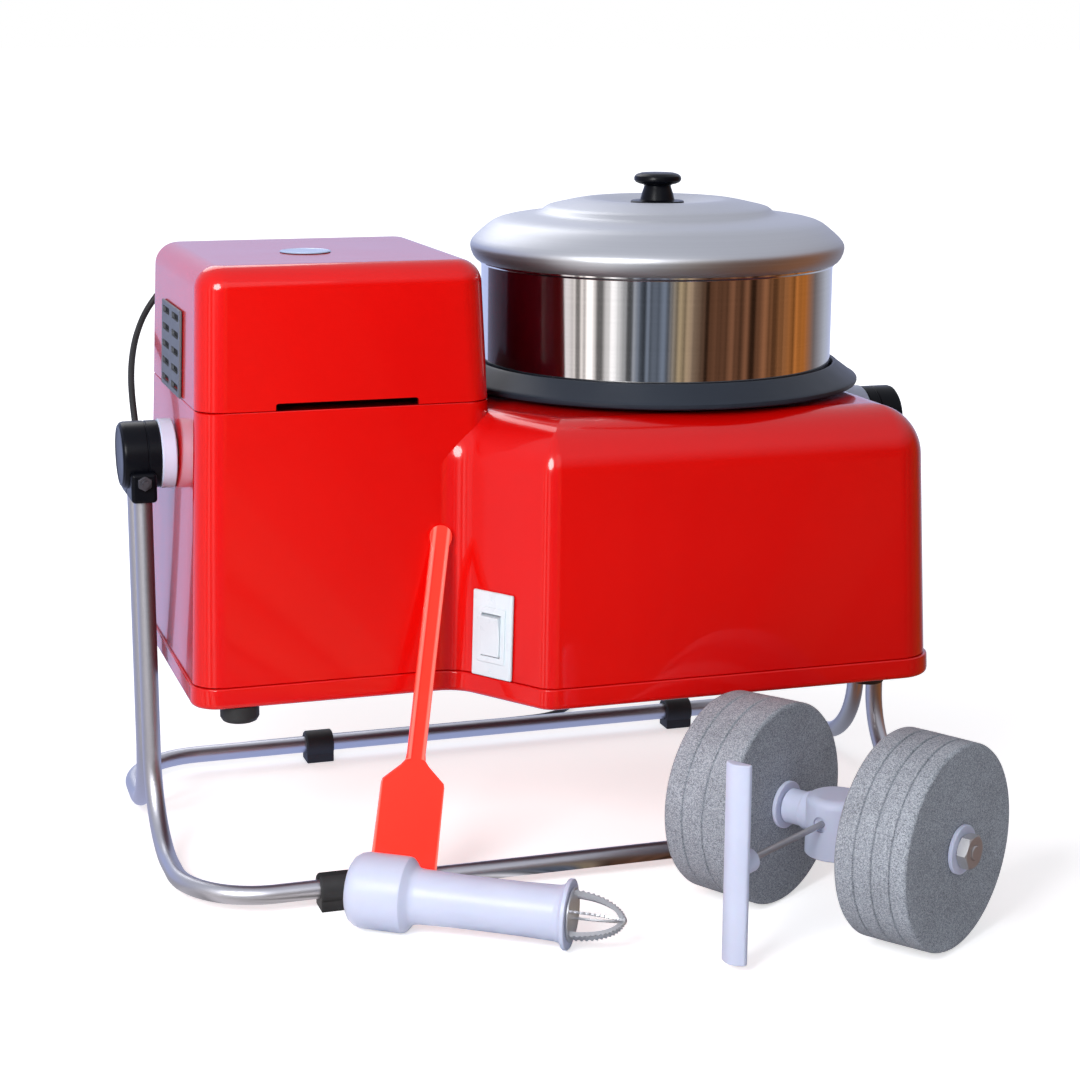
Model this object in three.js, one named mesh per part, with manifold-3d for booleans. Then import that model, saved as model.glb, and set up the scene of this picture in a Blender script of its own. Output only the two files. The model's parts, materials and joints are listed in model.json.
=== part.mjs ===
// A tilting table-top wet grinder: a tube stand, a housing that tilts on it, a driven drum
// with its lid, and the roller stones, scraper and spatula that stand in front of it.
// Millimetres, +Z up, +X along the tilt axis, the front at -Y.
import * as THREE from "three";
import { mergeVertices } from "three/addons/utils/BufferGeometryUtils.js";
import Module from "manifold-3d";

const wasm = await Module();
wasm.setup();

// Values that all pieces share
const gap = 0.3; // between pieces that touch
const overrun = 4; // how far a cut reaches past what it cuts
const weld = 1e-4; // vertices nearer than this are one
const fineSteps = 40; // round the lid and the drum
const roundSteps = 24; // round a knob, a stone or a boss
const smallSteps = 12; // round a pin or a tube
const stoneSteps = 32; // round a roller stone
const bendSteps = 5; // along a quarter bend
const cornerSteps = 4; // along a rounded corner of an outline

// Stand
const tubeRadius = 8;
const railReach = 191; // from the tilt axis to a rail
const railHeight = 17;
const legReach = 20; // from the tilt axis to a leg
const legBend = 75;
const railBend = 72;
const railFlare = 4; // how far the leg leans in before its rail
const footLength = 27;
const footRadius = 13.5;
const footBase = 22; // width of a rail foot on the floor
const footMouth = 9; // open top of a front foot
const frontFeetShares = [-0.6466, 0.6495]; // along the rail, of the way to a leg
const rearFeetShares = [-0.4435, 0.6495];

// Housing
const draftShare = 0.04; // how far each side leans out, per unit of depth
const wall = 3;
const trayBottom = 159;
const trayHeight = 18;
const trayTop = trayBottom + trayHeight;
const trayProud = 2;
const trayRim = 7;
const trayEdge = 5;
const deckHeight = 220;
const deckTop = trayTop + deckHeight;
const deckEdge = 42; // rounding of the deck's top edge
const deckShoulder = deckTop - deckEdge;
const seamLift = 9.5; // deck's top to the seam under the tower's cover
const coverSeam = deckTop + seamLift;
const coverHeight = 118.5;
const towerTop = coverSeam + coverHeight;
const towerEdge = 19; // rounding of the cover's top edge
const towerCorner = 24;
const deckCorner = 34;
const kneeCorner = 20;
const innerCorner = 30;
const leastCorner = 0.25; // radius that is left of a corner when an edge takes it in
const towerLeft = -311.5;
const towerWidth = 241.5;
const towerRight = towerLeft + towerWidth;
const towerFront = -113;
const towerRear = 138;
const kneeRun = 31; // tower's right side to the knees
const kneeX = towerRight + kneeRun;
const deckWidth = 339; // knees to the deck's right side
const deckRight = kneeX + deckWidth;
const deckFront = -196;
const deckRear = 196;
const cheekSlopeShare = 0.66; // run along X of the slanted cheek, per unit of its depth
const ventSlotInset = 59.5;
const ventSlotLeft = towerLeft + ventSlotInset;
const ventSlotLength = 121;
const ventSlotHeight = 6;
const bumperRadius = 16.5;
const bumperHeight = 14.5;
const bumperTaper = 3;
const towerBumperInsetX = 24.5;
const towerBumperInsetY = 3;
const deckBumperInsetX = 29;
const deckBumperInsetY = 36;
const bumperPlaces = {
  front_left: [towerLeft + towerBumperInsetX, towerFront + towerBumperInsetY],
  rear_left: [towerLeft + towerBumperInsetX, towerRear - towerBumperInsetY],
  front_right: [deckRight - deckBumperInsetX, deckFront + deckBumperInsetY],
  rear_right: [deckRight - deckBumperInsetX, deckRear - deckBumperInsetY],
};
const lean = (z) => draftShare * (towerTop - z);

// Tilt axis and its clamps
const pivotDrop = 42; // deck's top to the tilt axis
const pivotHeight = deckTop - pivotDrop;
const spacerReach = 14.7; // housing's wider side to the clamp, at the tilt axis
const clampLength = 33;
const clampReach = Math.max(-towerLeft, deckRight) + lean(pivotHeight) + spacerReach + clampLength;
const clampRadius = 29;
const clampEnd = 8; // thickness of the closed end
const clampRim = 3; // edge of the barrel turned off
const socketWidth = 22;
const socketWall = 5; // round the leg tops
const socketDrop = 37; // tilt axis to the socket's lower face
const legHeadroom = 15; // pin to the leg tops
const boltRadius = 3;
const boltHeadRadius = 6.5;
const boltHeadHeight = 4;
const boltDrop = 7; // pin to the bolt's axis
const pinRadius = 12;
const pinFlange = 19;
const pinFlangeThickness = 4;
const pinSeat = 12; // housing's outer face to the flange inside it
const spacerRadius = 30;

// Side grille, badge and switch
const grilleWidth = 96;
const grilleHeight = 74;
const grilleThickness = 2.5;
const grilleInset = 124; // tower's front to the grille's middle
const grilleY = towerFront + grilleInset;
const grilleDrop = 80.5; // tower's top to the grille's middle
const grilleZ = towerTop - grilleDrop;
const grilleColumns = 2;
const grilleRows = 5;
const louvreWidth = 35;
const louvreHeight = 6;
const badgeRadius = 22;
const badgeThickness = 1.2;
const badgeInsetX = 110.5;
const badgeInsetY = 109;
const badgeX = towerLeft + badgeInsetX;
const badgeY = towerFront + badgeInsetY;
const switchWidth = 43;
const switchHeight = 74;
const switchThickness = 7;
const switchLift = 37.6; // tray's top to the switch's middle
const switchZ = trayTop + switchLift;
const switchShare = 0.52; // place along the slanted cheek, from its knee
const rockerWidth = 21;
const rockerHeight = 37;
const rockerThickness = 13;
const rockerSeat = 5; // its back behind the housing's face
const rockerSwing = 1.5; // room for its swing, and the depth of its dish
const rockerTilt = 0.07; // radians, how far it leans
const switchBoxDepth = 24;
const switchBoxMargin = 3;

// Drive
const drumInset = 176; // deck's right side to the drum's axis
const drumX = deckRight - drumInset;
const motorInset = 116.5; // tower's left side to the motor's axis
const motorX = towerLeft + motorInset;
const motorRadius = 60;
const motorLift = 36;
const motorBottom = trayTop + motorLift;
const motorHeight = 130;
const motorTop = motorBottom + motorHeight;
const motorShaftRadius = 7;
const motorPulleyRadius = 26;
const drumPulleyRadius = 108;
const pulleyLift = 1;
const pulleyBottom = trayTop + pulleyLift;
const pulleyHeight = 18;
const shaftStub = 5; // motor's shaft past its pulley
const pulleyGroove = 5;
const beltThickness = 6;
const beltLift = 0.9; // its flat-sided loop off the round grooves
const beltHeight = 9;
const bracketThickness = 5;
const bracketReachX = 100;
const bracketReachY = 84;
const bracketPost = 7;
const fanRadius = 52;
const fanHub = 15;
const fanHeight = 14;
const fanBlades = 7;
const fanBladeThickness = 3;
const fanClearance = 8;
const drumShaftRadius = 12;
const bearingRadius = 30;
const bearingFlange = 44;
const bearingFlangeThickness = 6;
const bearingLength = 104; // under the deck's top

// Turntable, pan and lid
const panRadius = 159;
const panWall = 2;
const panCorner = 10;
const beadRadius = 2;
const ringMargin = 25; // turntable past the pan
const ringRadius = panRadius + ringMargin;
const ringLift = 3.5;
const ringBottom = deckTop + ringLift;
const ringLip = 7;
const ringHeight = 20.5;
const ringTop = ringBottom + ringHeight;
const ringCrest = 4; // pan to the top of the slope
const ringFloor = 5;
const panRise = 111.5; // turntable's underside to the pan's rim
const panTop = ringBottom + panRise;
const bedClearance = 11;
const stoneBedRadius = panRadius - bedClearance;
const stoneBedHeight = 22;
const postRadius = 17;
const postTopRadius = 11.5;
const postDrop = 11; // pan's rim to the post's top
const postTop = panTop - postDrop;
const lidOverhang = 10;
const lidRadius = panRadius + lidOverhang;
const lidDrop = 1.7; // how far its skirt hangs below the pan's rim
const lidBottom = panTop - lidDrop;
const lidHeight = 54.7;
const lidOuterShares = [ // of the radius and the height, from the lower edge to the middle
  [0.9645, 0], [1, 0.2212], [0.9976, 0.287], [0.974, 0.3857], [0.916, 0.543], [0.8852, 0.6124], [0.8568, 0.6527],
  [0.8225, 0.6819], [0.7751, 0.7075], [0.6355, 0.7697], [0.6059, 0.8391], [0.568, 0.8903], [0.4142, 0.989],
  [0.3787, 1], [0.3432, 0.9963], [0.213, 0.9122], [0.1183, 0.855], [0, 0.8446],
];
const lidInnerShares = [
  [0, 0.808], [0.1183, 0.8171], [0.3787, 0.9616], [0.5651, 0.85], [0.6272, 0.7294], [0.8166, 0.6417],
  [0.8746, 0.5795], [0.9615, 0.351],
];
const lidLip = 12; // width of the flat face that lies on the pan's rim
const knobSeat = 0.7; // lid's middle to the knob's foot
const knobBottom = lidBottom + lidHeight * lidOuterShares.at(-1)[1] + knobSeat;
const knobRadius = 24;
const knobHeight = 30.8;
const knobShares = [
  [0, 0], [0.575, 0], [0.575, 0.0779], [1, 0.0779], [1, 0.1818], [0.625, 0.1948], [0.525, 0.4968],
  [0.4833, 0.6266], [0.7708, 0.6916], [0.8875, 0.8247], [0.75, 0.961], [0, 1],
];

// Roller stones on their axle
const rollerInset = 138.6; // deck's right side to the hub's axis
const rollerX = deckRight - rollerInset;
const rollerAhead = 142.8; // front rail to the hub's axis
const rollerY = -railReach - rollerAhead;
const rollerTurn = -0.998; // radians, the axle's direction from +X
const axleRadius = 6;
const axleProud = 1.2; // past the nut
const stoneInner = 50;
const stoneWidth = 63.5;
const stoneRadius = 85.9;
const stoneClearance = 0.7; // round stone to the floor
const axleHeight = stoneRadius + stoneClearance;
const stoneTaper = 1.4;
const stoneChamfer = 3;
const grooveWidth = 1.4;
const grooveDepth = 1.6;
const leftGroovesShare = [0.3, 0.62]; // across the stone, from its outer face
const rightGroovesShare = [0.22, 0.47, 0.72];
const bushRadius = 20;
const bushBody = 11;
const bushFlange = 4;
const nutRadius = 14.5;
const nutHeight = 9;
const hubRadius = 25;
const hubDrop = 30.6; // axle to the hub's lower face
const hubBottom = axleHeight - hubDrop;
const hubRise = 20;
const hubTop = axleHeight + hubRise;
const hubBore = 13;
const sleeveRadius = 14.5;
const hubBoreRoof = 2.1; // the bore stops under the axle's sleeve
const hubBoreTop = axleHeight - sleeveRadius - hubBoreRoof;
const sleevePlay = 1; // sleeve to the stone's bush
const sleeveEnd = stoneInner - bushFlange - sleevePlay;

// Wiper
const wiperRodRadius = 2.6;
const wiperRodFrom = 12; // from the hub's axis
const wiperReach = 146; // hub's axis to the blade's middle
const wiperBottom = 7;
const wiperTop = 170;
const wiperWidth = 22;
const wiperThickness = 9;
const wiperBoss = 9.5;
const wiperBossLength = 17;

// Coconut scraper
const scraperInset = 89.7; // tower's left side to its socket's mouth
const scraperX = towerLeft + scraperInset;
const scraperAhead = 43.6; // front rail to its socket's mouth
const scraperY = -railReach - scraperAhead;
const scraperTurn = -0.562;
const capRadius = 31;
const capLength = 54;
const capCorner = 12;
const capShoulder = 5;
const barrelRadius = 22.5;
const barrelWaist = 21.5;
const barrelEnd = 180;
const flangeRadius = 28.5;
const flangeThickness = 3.5;
const socketRadius = 13.5;
const socketDepth = 40;
const scraperBlades = 3; // arched strips, each making two blades
const bladeReach = 44;
const bladeRadius = 22;
const bladeThickness = 1.6;
const bladeWidth = 5;
const bladeTeeth = 14;
const toothDepth = 1.8;
const bladeCoreRadius = 4;

// Spatula
const spatulaFootInset = 105; // tower's right side to its foot
const spatulaFootX = towerRight - spatulaFootInset;
const spatulaAhead = 16.5; // front rail to its foot
const spatulaFootY = -railReach - spatulaAhead;
const spatulaHeadInset = 44;
const spatulaHeadX = towerRight - spatulaHeadInset;
const spatulaHeadDrop = 93; // deck's top to its head
const spatulaHeadZ = deckTop - spatulaHeadDrop;
const spatulaRest = 2.9; // tower's front face to its leaning head
const spatulaHeadY = towerFront - lean(spatulaHeadZ) - spatulaRest;
const spatulaThickness = 3.5;
const spatulaBladeWidth = 58;
const spatulaShoulderWidth = 54;
const spatulaBladeLength = 101;
const spatulaNeckLength = 16;
const spatulaHandleWidth = 16;
const spatulaKnobRadius = 9.8;
const spatulaRib = 2;
const spatulaLift = 5.8; // lower edge of the tilted blade to the floor

// Supply cord: the route is chosen by hand in the stand's own frame
const cordRadius = 3;
const cordSides = 8;
const cordStep = 18;
const glandFlange = 9;
const glandFlangeThickness = 3;
const glandLength = 30;
const glandWide = 6.5;
const glandNarrow = 4.2;
const glandInset = 25.5;
const glandX = towerLeft + glandInset;
const glandDrop = 40;
const glandZ = towerTop - glandDrop;
const leadRoute = [
  [-286, 171, 485], [-286.4, 179.6, 484.5], [-289, 189, 481.2], [-294.6, 197, 474], [-302, 200, 464.5],
  [-309.6, 197.2, 454.6], [-316.8, 189, 444.2], [-324.5, 175, 430], [-330.5, 157, 415], [-334.5, 138, 400],
  [-336.5, 120.2, 384], [-337, 104.4, 366], [-337, 91.4, 348], [-337, 86, 332],
];
const tubeRoute = [
  [-337, 85.8, 331.5], [-337, 82.8, 319], [-337, 79.8, 277], [-337, 79, 242], [-336.5, 79, 197],
  [-335.5, 79.5, 148], [-334, 80, 99], [-332.6, 81, 61.5], [-331.6, 84.5, 38], [-331, 92.5, 20.5],
  [-330.5, 104, 9.5], [-330, 117, 4.6], [-329.5, 131, 3.4], [-328, 150, 3.3], [-325, 172, 3.3],
  [-319, 197, 3.3], [-307, 221, 3.3], [-288, 239, 3.3], [-262, 246, 3.3], [-220, 249, 3.3], [-150, 250, 3.3],
  [-70, 250, 3.3], [10, 250, 3.3], [70, 250, 3.3], [104, 254, 3.3], [127, 266, 3.4], [141, 282, 3.7],
  [150, 300, 4.1], [158, 317, 4.5], [168, 329.5, 4.8], [179, 335.3, 4.9], [188, 336, 4.9], [193.4, 336, 4.9],
];
const coilX = 200;
const coilY = 375;
const coilOuter = 39;
const coilPitch = 6.8;
const coilTurns = 2; // in each of its two layers
const coilLoopSteps = 24;
const coilSides = 6;
const coilBottom = 4.9;
const tieWidth = 8;
const tieThickness = 1.1;
const tailRoute = [[213, 336, 11.9], [226, 336, 14.4], [238, 336, 18.6], [250, 336, 20.8], [257, 336, 21]];
const plugLift = 21;
const plugRadius = 20.5;
const plugLength = 34;
const plugGrip = 10;
const plugReliefLength = 22;
const plugReliefWide = 7;
const plugReliefNarrow = 4.5;
const plugPinRadius = 2.5;
const plugEarthRadius = 3.5;
const plugPinLength = 15;
const plugEarthLength = 21;
const plugPinSpread = 9.5;
const plugEarthLift = 11;

// Colours and finishes
const finish = (color, roughness, metalness = 0) =>
  new THREE.MeshStandardMaterial({ color, roughness, metalness });
const redPaint = () => finish(0xd81408, 0.22);
const steelTube = () => finish(0xb9bbc2, 0.3, 1);
const polishedSteel = () => finish(0xc8c8c6, 0.12, 1);
const satinAluminium = () => finish(0xb4b6bb, 0.38, 1);
const zincSteel = () => finish(0xa9abae, 0.35, 1);
const blackPlastic = () => finish(0x15171b, 0.4);
const blackRubber = () => finish(0x101114, 0.75);
const whitePlastic = () => finish(0xe9ebf2, 0.42);
const granite = () => finish(0x8b9299, 0.85);
const redPlastic = () => finish(0xe8201a, 0.25);
const greyPaint = () => finish(0x5d6268, 0.5);
const slateBlue = () => finish(0xa9b4cf, 0.3, 0.4);

// Solids from closed meshes
function toSolid(geometry) {
  const source = geometry.index ? geometry.toNonIndexed() : geometry;
  const bare = new THREE.BufferGeometry().setAttribute("position", source.getAttribute("position"));
  const merged = mergeVertices(bare, weld);
  const corners = merged.index.array;
  const triangles = [];
  for (let i = 0; i < corners.length; i += 3) {
    const [a, b, c] = corners.subarray(i, i + 3);
    if (a !== b && b !== c && c !== a) triangles.push(a, b, c);
  }
  const vertProperties = merged.attributes.position.array;
  const make = (triVerts) =>
    new wasm.Manifold(new wasm.Mesh({ numProp: 3, vertProperties, triVerts: new Uint32Array(triVerts) }));
  const made = make(triangles);
  return made.volume() < 0 ? make(triangles.reverse()) : made;
}

function toGeometry(solid) {
  const mesh = solid.getMesh();
  const geometry = new THREE.BufferGeometry();
  geometry.setAttribute("position", new THREE.BufferAttribute(mesh.vertProperties, 3));
  geometry.setIndex(new THREE.BufferAttribute(mesh.triVerts, 1));
  return geometry;
}

const join = (...shapes) => toGeometry(shapes.map(toSolid).reduce((whole, next) => whole.add(next)));
const cut = (shape, ...tools) =>
  toGeometry(tools.map(toSolid).reduce((whole, tool) => whole.subtract(tool), toSolid(shape)));

// Adds one named piece to a group
function add(group, name, geometry, material) {
  const mesh = new THREE.Mesh(toGeometry(toSolid(geometry)).toNonIndexed(), material);
  mesh.geometry.computeVertexNormals();
  mesh.name = name;
  group.add(mesh);
  return mesh;
}

// Basic shapes: a turned profile, a rod and a ring stand on their axis along Z
const bore = (radius, sides = roundSteps) => (radius + gap) / Math.cos(Math.PI / sides);

function turned(profile, steps = roundSteps) {
  const points = profile.map(([radius, height]) => new THREE.Vector2(radius, height));
  return new THREE.LatheGeometry(points, steps).rotateX(Math.PI / 2);
}

function rod(radius, bottom, top, steps = smallSteps) {
  const shape = new THREE.CylinderGeometry(radius, radius, top - bottom, steps);
  return shape.rotateX(Math.PI / 2).translate(0, 0, (top + bottom) / 2);
}

const ring = (outer, inner, bottom, top, steps = roundSteps) =>
  turned([[inner, bottom], [outer, bottom], [outer, top], [inner, top], [inner, bottom]], steps);

function block(x0, x1, y0, y1, z0, z1) {
  const shape = new THREE.BoxGeometry(x1 - x0, y1 - y0, z1 - z0);
  return shape.translate((x0 + x1) / 2, (y0 + y1) / 2, (z0 + z1) / 2);
}

const alongX = (shape) => shape.rotateY(Math.PI / 2);
const alongY = (shape) => shape.rotateX(-Math.PI / 2);

// Points from one direction to another round a centre
function arc(centre, from, to, steps) {
  const angle = from.angleTo(to);
  return Array.from({ length: steps + 1 }, (_, k) => {
    const share = k / steps;
    const a = Math.sin((1 - share) * angle) / Math.sin(angle);
    const b = Math.sin(share * angle) / Math.sin(angle);
    return centre.clone().addScaledVector(from, a).addScaledVector(to, b);
  });
}

// The rounded corner at a point whose neighbours are given
function roundCorner(before, at, after, radius, steps) {
  const back = before.clone().sub(at).normalize();
  const on = after.clone().sub(at).normalize();
  const half = back.angleTo(on) / 2;
  const centre = at.clone().addScaledVector(back.clone().add(on).normalize(), radius / Math.sin(half));
  const reach = radius / Math.tan(half);
  const start = at.clone().addScaledVector(back, reach).sub(centre);
  const end = at.clone().addScaledVector(on, reach).sub(centre);
  return arc(centre, start, end, steps);
}

// A closed outline at one height: its sides move out by grow, and an edge rounding takes off trim
function outline(corners, z, grow, trim = 0) {
  const count = corners.length;
  const sides = corners.map(([x, y], i) => {
    const next = corners[(i + 1) % count];
    const along = new THREE.Vector2(next[0] - x, next[1] - y).normalize();
    const out = new THREE.Vector2(along.y, -along.x);
    return { at: new THREE.Vector2(x, y).addScaledVector(out, grow - trim), along };
  });
  const moved = corners.map((_, i) => {
    const before = sides[(i + count - 1) % count];
    const side = sides[i];
    const share = side.at.clone().sub(before.at).cross(side.along) / before.along.cross(side.along);
    const point = before.at.clone().addScaledVector(before.along, share);
    return new THREE.Vector3(point.x, point.y, z);
  });
  return moved.flatMap((at, i) => {
    const turn = sides[(i + count - 1) % count].along.cross(sides[i].along);
    const radius = Math.max(corners[i][2] - Math.sign(turn) * trim, leastCorner);
    return roundCorner(moved[(i + count - 1) % count], at, moved[(i + 1) % count], radius, cornerSteps);
  });
}

// A closed body through a stack of outlines
function loft(rings) {
  const around = rings[0].length;
  const top = (rings.length - 1) * around;
  const index = [];
  for (let level = 0; level < rings.length - 1; level++) {
    for (let i = 0; i < around; i++) {
      const a = level * around + i;
      const b = level * around + ((i + 1) % around);
      index.push(a, b, b + around, a, b + around, a + around);
    }
  }
  const lid = (points) => THREE.ShapeUtils.triangulateShape(points.map((p) => new THREE.Vector2(p.x, p.y)), []);
  for (const [a, b, c] of lid(rings[0])) index.push(c, b, a);
  for (const [a, b, c] of lid(rings.at(-1))) index.push(top + a, top + b, top + c);
  const geometry = new THREE.BufferGeometry().setFromPoints(rings.flat());
  geometry.setIndex(index);
  return geometry;
}

// A line through given points, for sweeping a section along it
class Route extends THREE.Curve {
  constructor(points) {
    super();
    this.points = points;
  }
  getPoint(t, target = new THREE.Vector3()) {
    const last = this.points.length - 1;
    const at = Math.min(Math.floor(t * last), last - 1);
    return target.lerpVectors(this.points[at], this.points[at + 1], t * last - at);
  }
  getPointAt(u, target) {
    return this.getPoint(u, target);
  }
  getTangentAt(u, target = new THREE.Vector3()) {
    const last = this.points.length - 1;
    const at = Math.round(u * last);
    const before = this.points[Math.max(at - 1, 0)];
    const after = this.points[Math.min(at + 1, last)];
    return target.subVectors(after, before).normalize();
  }
}

function tube(points, radius, sides) {
  const section = new THREE.Shape(
    Array.from({ length: sides }, (_, i) => {
      const angle = (2 * Math.PI * (i + 1 / 2)) / sides;
      return new THREE.Vector2(radius * Math.cos(angle), radius * Math.sin(angle));
    }),
  );
  return new THREE.ExtrudeGeometry(section, {
    steps: points.length - 1,
    extrudePath: new Route(points),
    bevelEnabled: false,
  });
}

// A smooth line through points chosen by hand, in steps of about one length
function smooth(list, step) {
  const curve = new THREE.CatmullRomCurve3(list.map((p) => new THREE.Vector3(...p)), false, "centripetal");
  return curve.getSpacedPoints(Math.round(curve.getLength() / step));
}

// Stand: two bent tubes on sleeve feet
const legX = clampReach - clampLength / 2;
const legTop = pivotHeight - pinRadius - legHeadroom;

function standTube(side) {
  const corners = [
    [-legX, side * legReach, legTop],
    [-legX, side * legReach, railHeight],
    [railFlare - legX, side * railReach, railHeight],
    [legX - railFlare, side * railReach, railHeight],
    [legX, side * legReach, railHeight],
    [legX, side * legReach, legTop],
  ].map((p) => new THREE.Vector3(...p));
  const bends = [legBend, railBend, railBend, legBend];
  const route = bends.flatMap((radius, i) =>
    roundCorner(corners[i], corners[i + 1], corners[i + 2], radius, bendSteps),
  );
  return tube([corners[0], ...route, corners.at(-1)], tubeRadius, smallSteps);
}

function railFoot(open) {
  const shape = new THREE.Shape();
  shape.moveTo(-footBase / 2, 0);
  shape.lineTo(footBase / 2, 0);
  shape.absarc(0, railHeight, footRadius, 0, Math.PI);
  shape.closePath();
  const body = new THREE.ExtrudeGeometry(shape, {
    depth: footLength,
    bevelEnabled: false,
    curveSegments: bendSteps,
  });
  body.rotateX(Math.PI / 2).rotateZ(Math.PI / 2).translate(-footLength / 2, 0, 0);
  const hole = alongX(rod(bore(tubeRadius), -footLength, footLength, roundSteps)).translate(0, 0, railHeight);
  if (!open) return cut(body, hole);
  const top = railHeight + footRadius + overrun;
  return cut(body, hole, block(-footLength, footLength, -footMouth / 2, footMouth / 2, railHeight, top));
}

function addStand(group) {
  add(group, "stand_tube_front", standTube(-1), steelTube());
  add(group, "stand_tube_rear", standTube(1), steelTube());
  const feet = [
    ["front", -railReach, frontFeetShares, true],
    ["rear", railReach, rearFeetShares, false],
  ];
  for (const [where, y, shares, open] of feet) {
    shares.forEach((share, i) => {
      const name = `rail_foot_${where}_${i ? "right" : "left"}`;
      add(group, name, railFoot(open), blackRubber()).position.set(share * legX, y, 0);
    });
  }
}

// Clamps: a barrel round the pivot pin over a socket that holds both leg tops
function clampBody() {
  const inner = legX - clampLength / 2;
  const barrel = turned([
    [0, inner], [clampRadius, inner], [clampRadius, clampReach - clampRim],
    [clampRadius - clampRim, clampReach], [0, clampReach],
  ]);
  const depth = legReach + tubeRadius + socketWall;
  const socket = block(
    legX - socketWidth / 2, legX + socketWidth / 2, -depth, depth,
    pivotHeight - socketDrop, pivotHeight - pinRadius,
  );
  const legHole = (y) =>
    rod(bore(tubeRadius), pivotHeight - socketDrop - overrun, legTop + gap, roundSteps).translate(legX, y, 0);
  const pinHole = alongX(rod(bore(pinRadius), inner - overrun, clampReach - clampEnd, roundSteps));
  const boltHole = alongY(rod(bore(boltRadius), -depth - overrun, depth + overrun, roundSteps));
  return cut(
    join(alongX(barrel).translate(0, 0, pivotHeight), socket),
    legHole(-legReach),
    legHole(legReach),
    pinHole.translate(0, 0, pivotHeight),
    boltHole.translate(legX, 0, pivotHeight - pinRadius - boltDrop),
  );
}

function clampBolt() {
  const depth = legReach + tubeRadius + socketWall + gap;
  const head = rod(boltHeadRadius, -depth - boltHeadHeight, -depth, 6);
  const nut = rod(boltHeadRadius, depth, depth + boltHeadHeight, 6);
  const shank = rod(boltRadius, -depth - boltHeadHeight / 2, depth + 2 * boltHeadHeight);
  return alongY(join(head, nut, shank)).translate(legX, 0, pivotHeight - pinRadius - boltDrop);
}

function addClamps(group) {
  for (const [side, name] of [[-1, "left"], [1, "right"]]) {
    const turn = side < 0 ? Math.PI : 0;
    add(group, `pivot_clamp_${name}`, clampBody(), blackPlastic()).rotation.z = turn;
    add(group, `clamp_bolt_${name}`, clampBolt(), zincSteel()).rotation.z = turn;
  }
}

// Housing outlines, given where the lean is nothing, at the height of the tower's top
const cheekRun = (depth) => cheekSlopeShare * depth;
const towerPlan = [
  [towerLeft, towerFront, towerCorner], [towerRight, towerFront, towerCorner],
  [towerRight, towerRear, towerCorner], [towerLeft, towerRear, towerCorner],
];
const basePlan = [
  [towerLeft, towerFront, towerCorner],
  [kneeX - cheekRun(towerFront - deckFront), towerFront, innerCorner],
  [kneeX, deckFront, kneeCorner],
  [deckRight, deckFront, deckCorner],
  [deckRight, deckRear, deckCorner],
  [kneeX, deckRear, kneeCorner],
  [kneeX - cheekRun(deckRear - towerRear), towerRear, innerCorner],
  [towerLeft, towerRear, towerCorner],
];

// A drafted body with a rounded top edge, inset all round from the outer surface
function draftedBody(plan, bottom, top, edge, inset) {
  const rings = [outline(plan, bottom, lean(bottom) - inset)];
  for (let k = 0; k <= cornerSteps; k++) {
    const angle = (Math.PI / 2) * (k / cornerSteps);
    const z = top - inset - (edge - inset) * (1 - Math.sin(angle));
    rings.push(outline(plan, z, lean(z) - inset, (edge - inset) * (1 - Math.cos(angle))));
  }
  return loft(rings);
}

const prism = (plan, bottom, top, inset) =>
  loft([outline(plan, bottom, lean(bottom) - inset), outline(plan, top, lean(top) - inset)]);

function housingShell() {
  const bottom = trayTop + gap;
  const outer = join(
    draftedBody(basePlan, bottom, deckTop, deckEdge, 0),
    prism(towerPlan, deckShoulder, coverSeam, 0),
  );
  const pinHole = alongX(rod(bore(pinRadius), towerLeft - deckEdge, deckRight + deckEdge, roundSteps));
  return cut(
    outer,
    draftedBody(basePlan, bottom - overrun, deckTop, deckEdge, wall),
    prism(towerPlan, deckShoulder, coverSeam + overrun, wall),
    pinHole.translate(0, 0, pivotHeight),
    rod(bore(drumShaftRadius) + gap, deckTop - deckEdge, deckTop + overrun, roundSteps).translate(drumX, 0, 0),
    onCheek(switchBody(gap)),
  );
}

function towerCover() {
  const bottom = coverSeam + gap;
  const slot = block(
    ventSlotLeft, ventSlotLeft + ventSlotLength, towerFront - deckEdge, towerFront + deckEdge,
    coverSeam - overrun, coverSeam + ventSlotHeight,
  );
  const window = [grilleWidth - 4 * grilleThickness, grilleHeight - 4 * grilleThickness];
  const vent = block(
    towerLeft - deckEdge, towerLeft + deckEdge,
    grilleY - window[0] / 2, grilleY + window[0] / 2,
    grilleZ - window[1] / 2, grilleZ + window[1] / 2,
  );
  return cut(
    draftedBody(towerPlan, bottom, towerTop, towerEdge, 0),
    draftedBody(towerPlan, bottom - overrun, towerTop, towerEdge, wall),
    slot,
    vent,
  );
}

function baseTray() {
  const floor = trayBottom + wall;
  const rim = trayRim - trayProud;
  const out = (z, trim) => outline(basePlan, z, lean(z) + trayProud, trim);
  const body = loft([out(trayBottom, trayEdge), out(trayBottom + trayEdge, 0), out(trayTop, 0)]);
  return cut(body, prism(basePlan, floor, trayTop + overrun, rim));
}

function bumper() {
  return turned([
    [0, trayBottom - gap - bumperHeight], [bumperRadius - bumperTaper, trayBottom - gap - bumperHeight],
    [bumperRadius, trayBottom - gap - bumperTaper], [bumperRadius, trayBottom - gap], [0, trayBottom - gap],
  ], smallSteps);
}

function addShells(group) {
  add(group, "base_tray", baseTray(), redPaint());
  add(group, "housing_shell", housingShell(), redPaint());
  add(group, "tower_cover", towerCover(), redPaint());
  for (const [where, [x, y]] of Object.entries(bumperPlaces)) {
    add(group, `housing_foot_${where}`, bumper(), blackRubber()).position.set(x, y, 0);
  }
}

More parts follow.
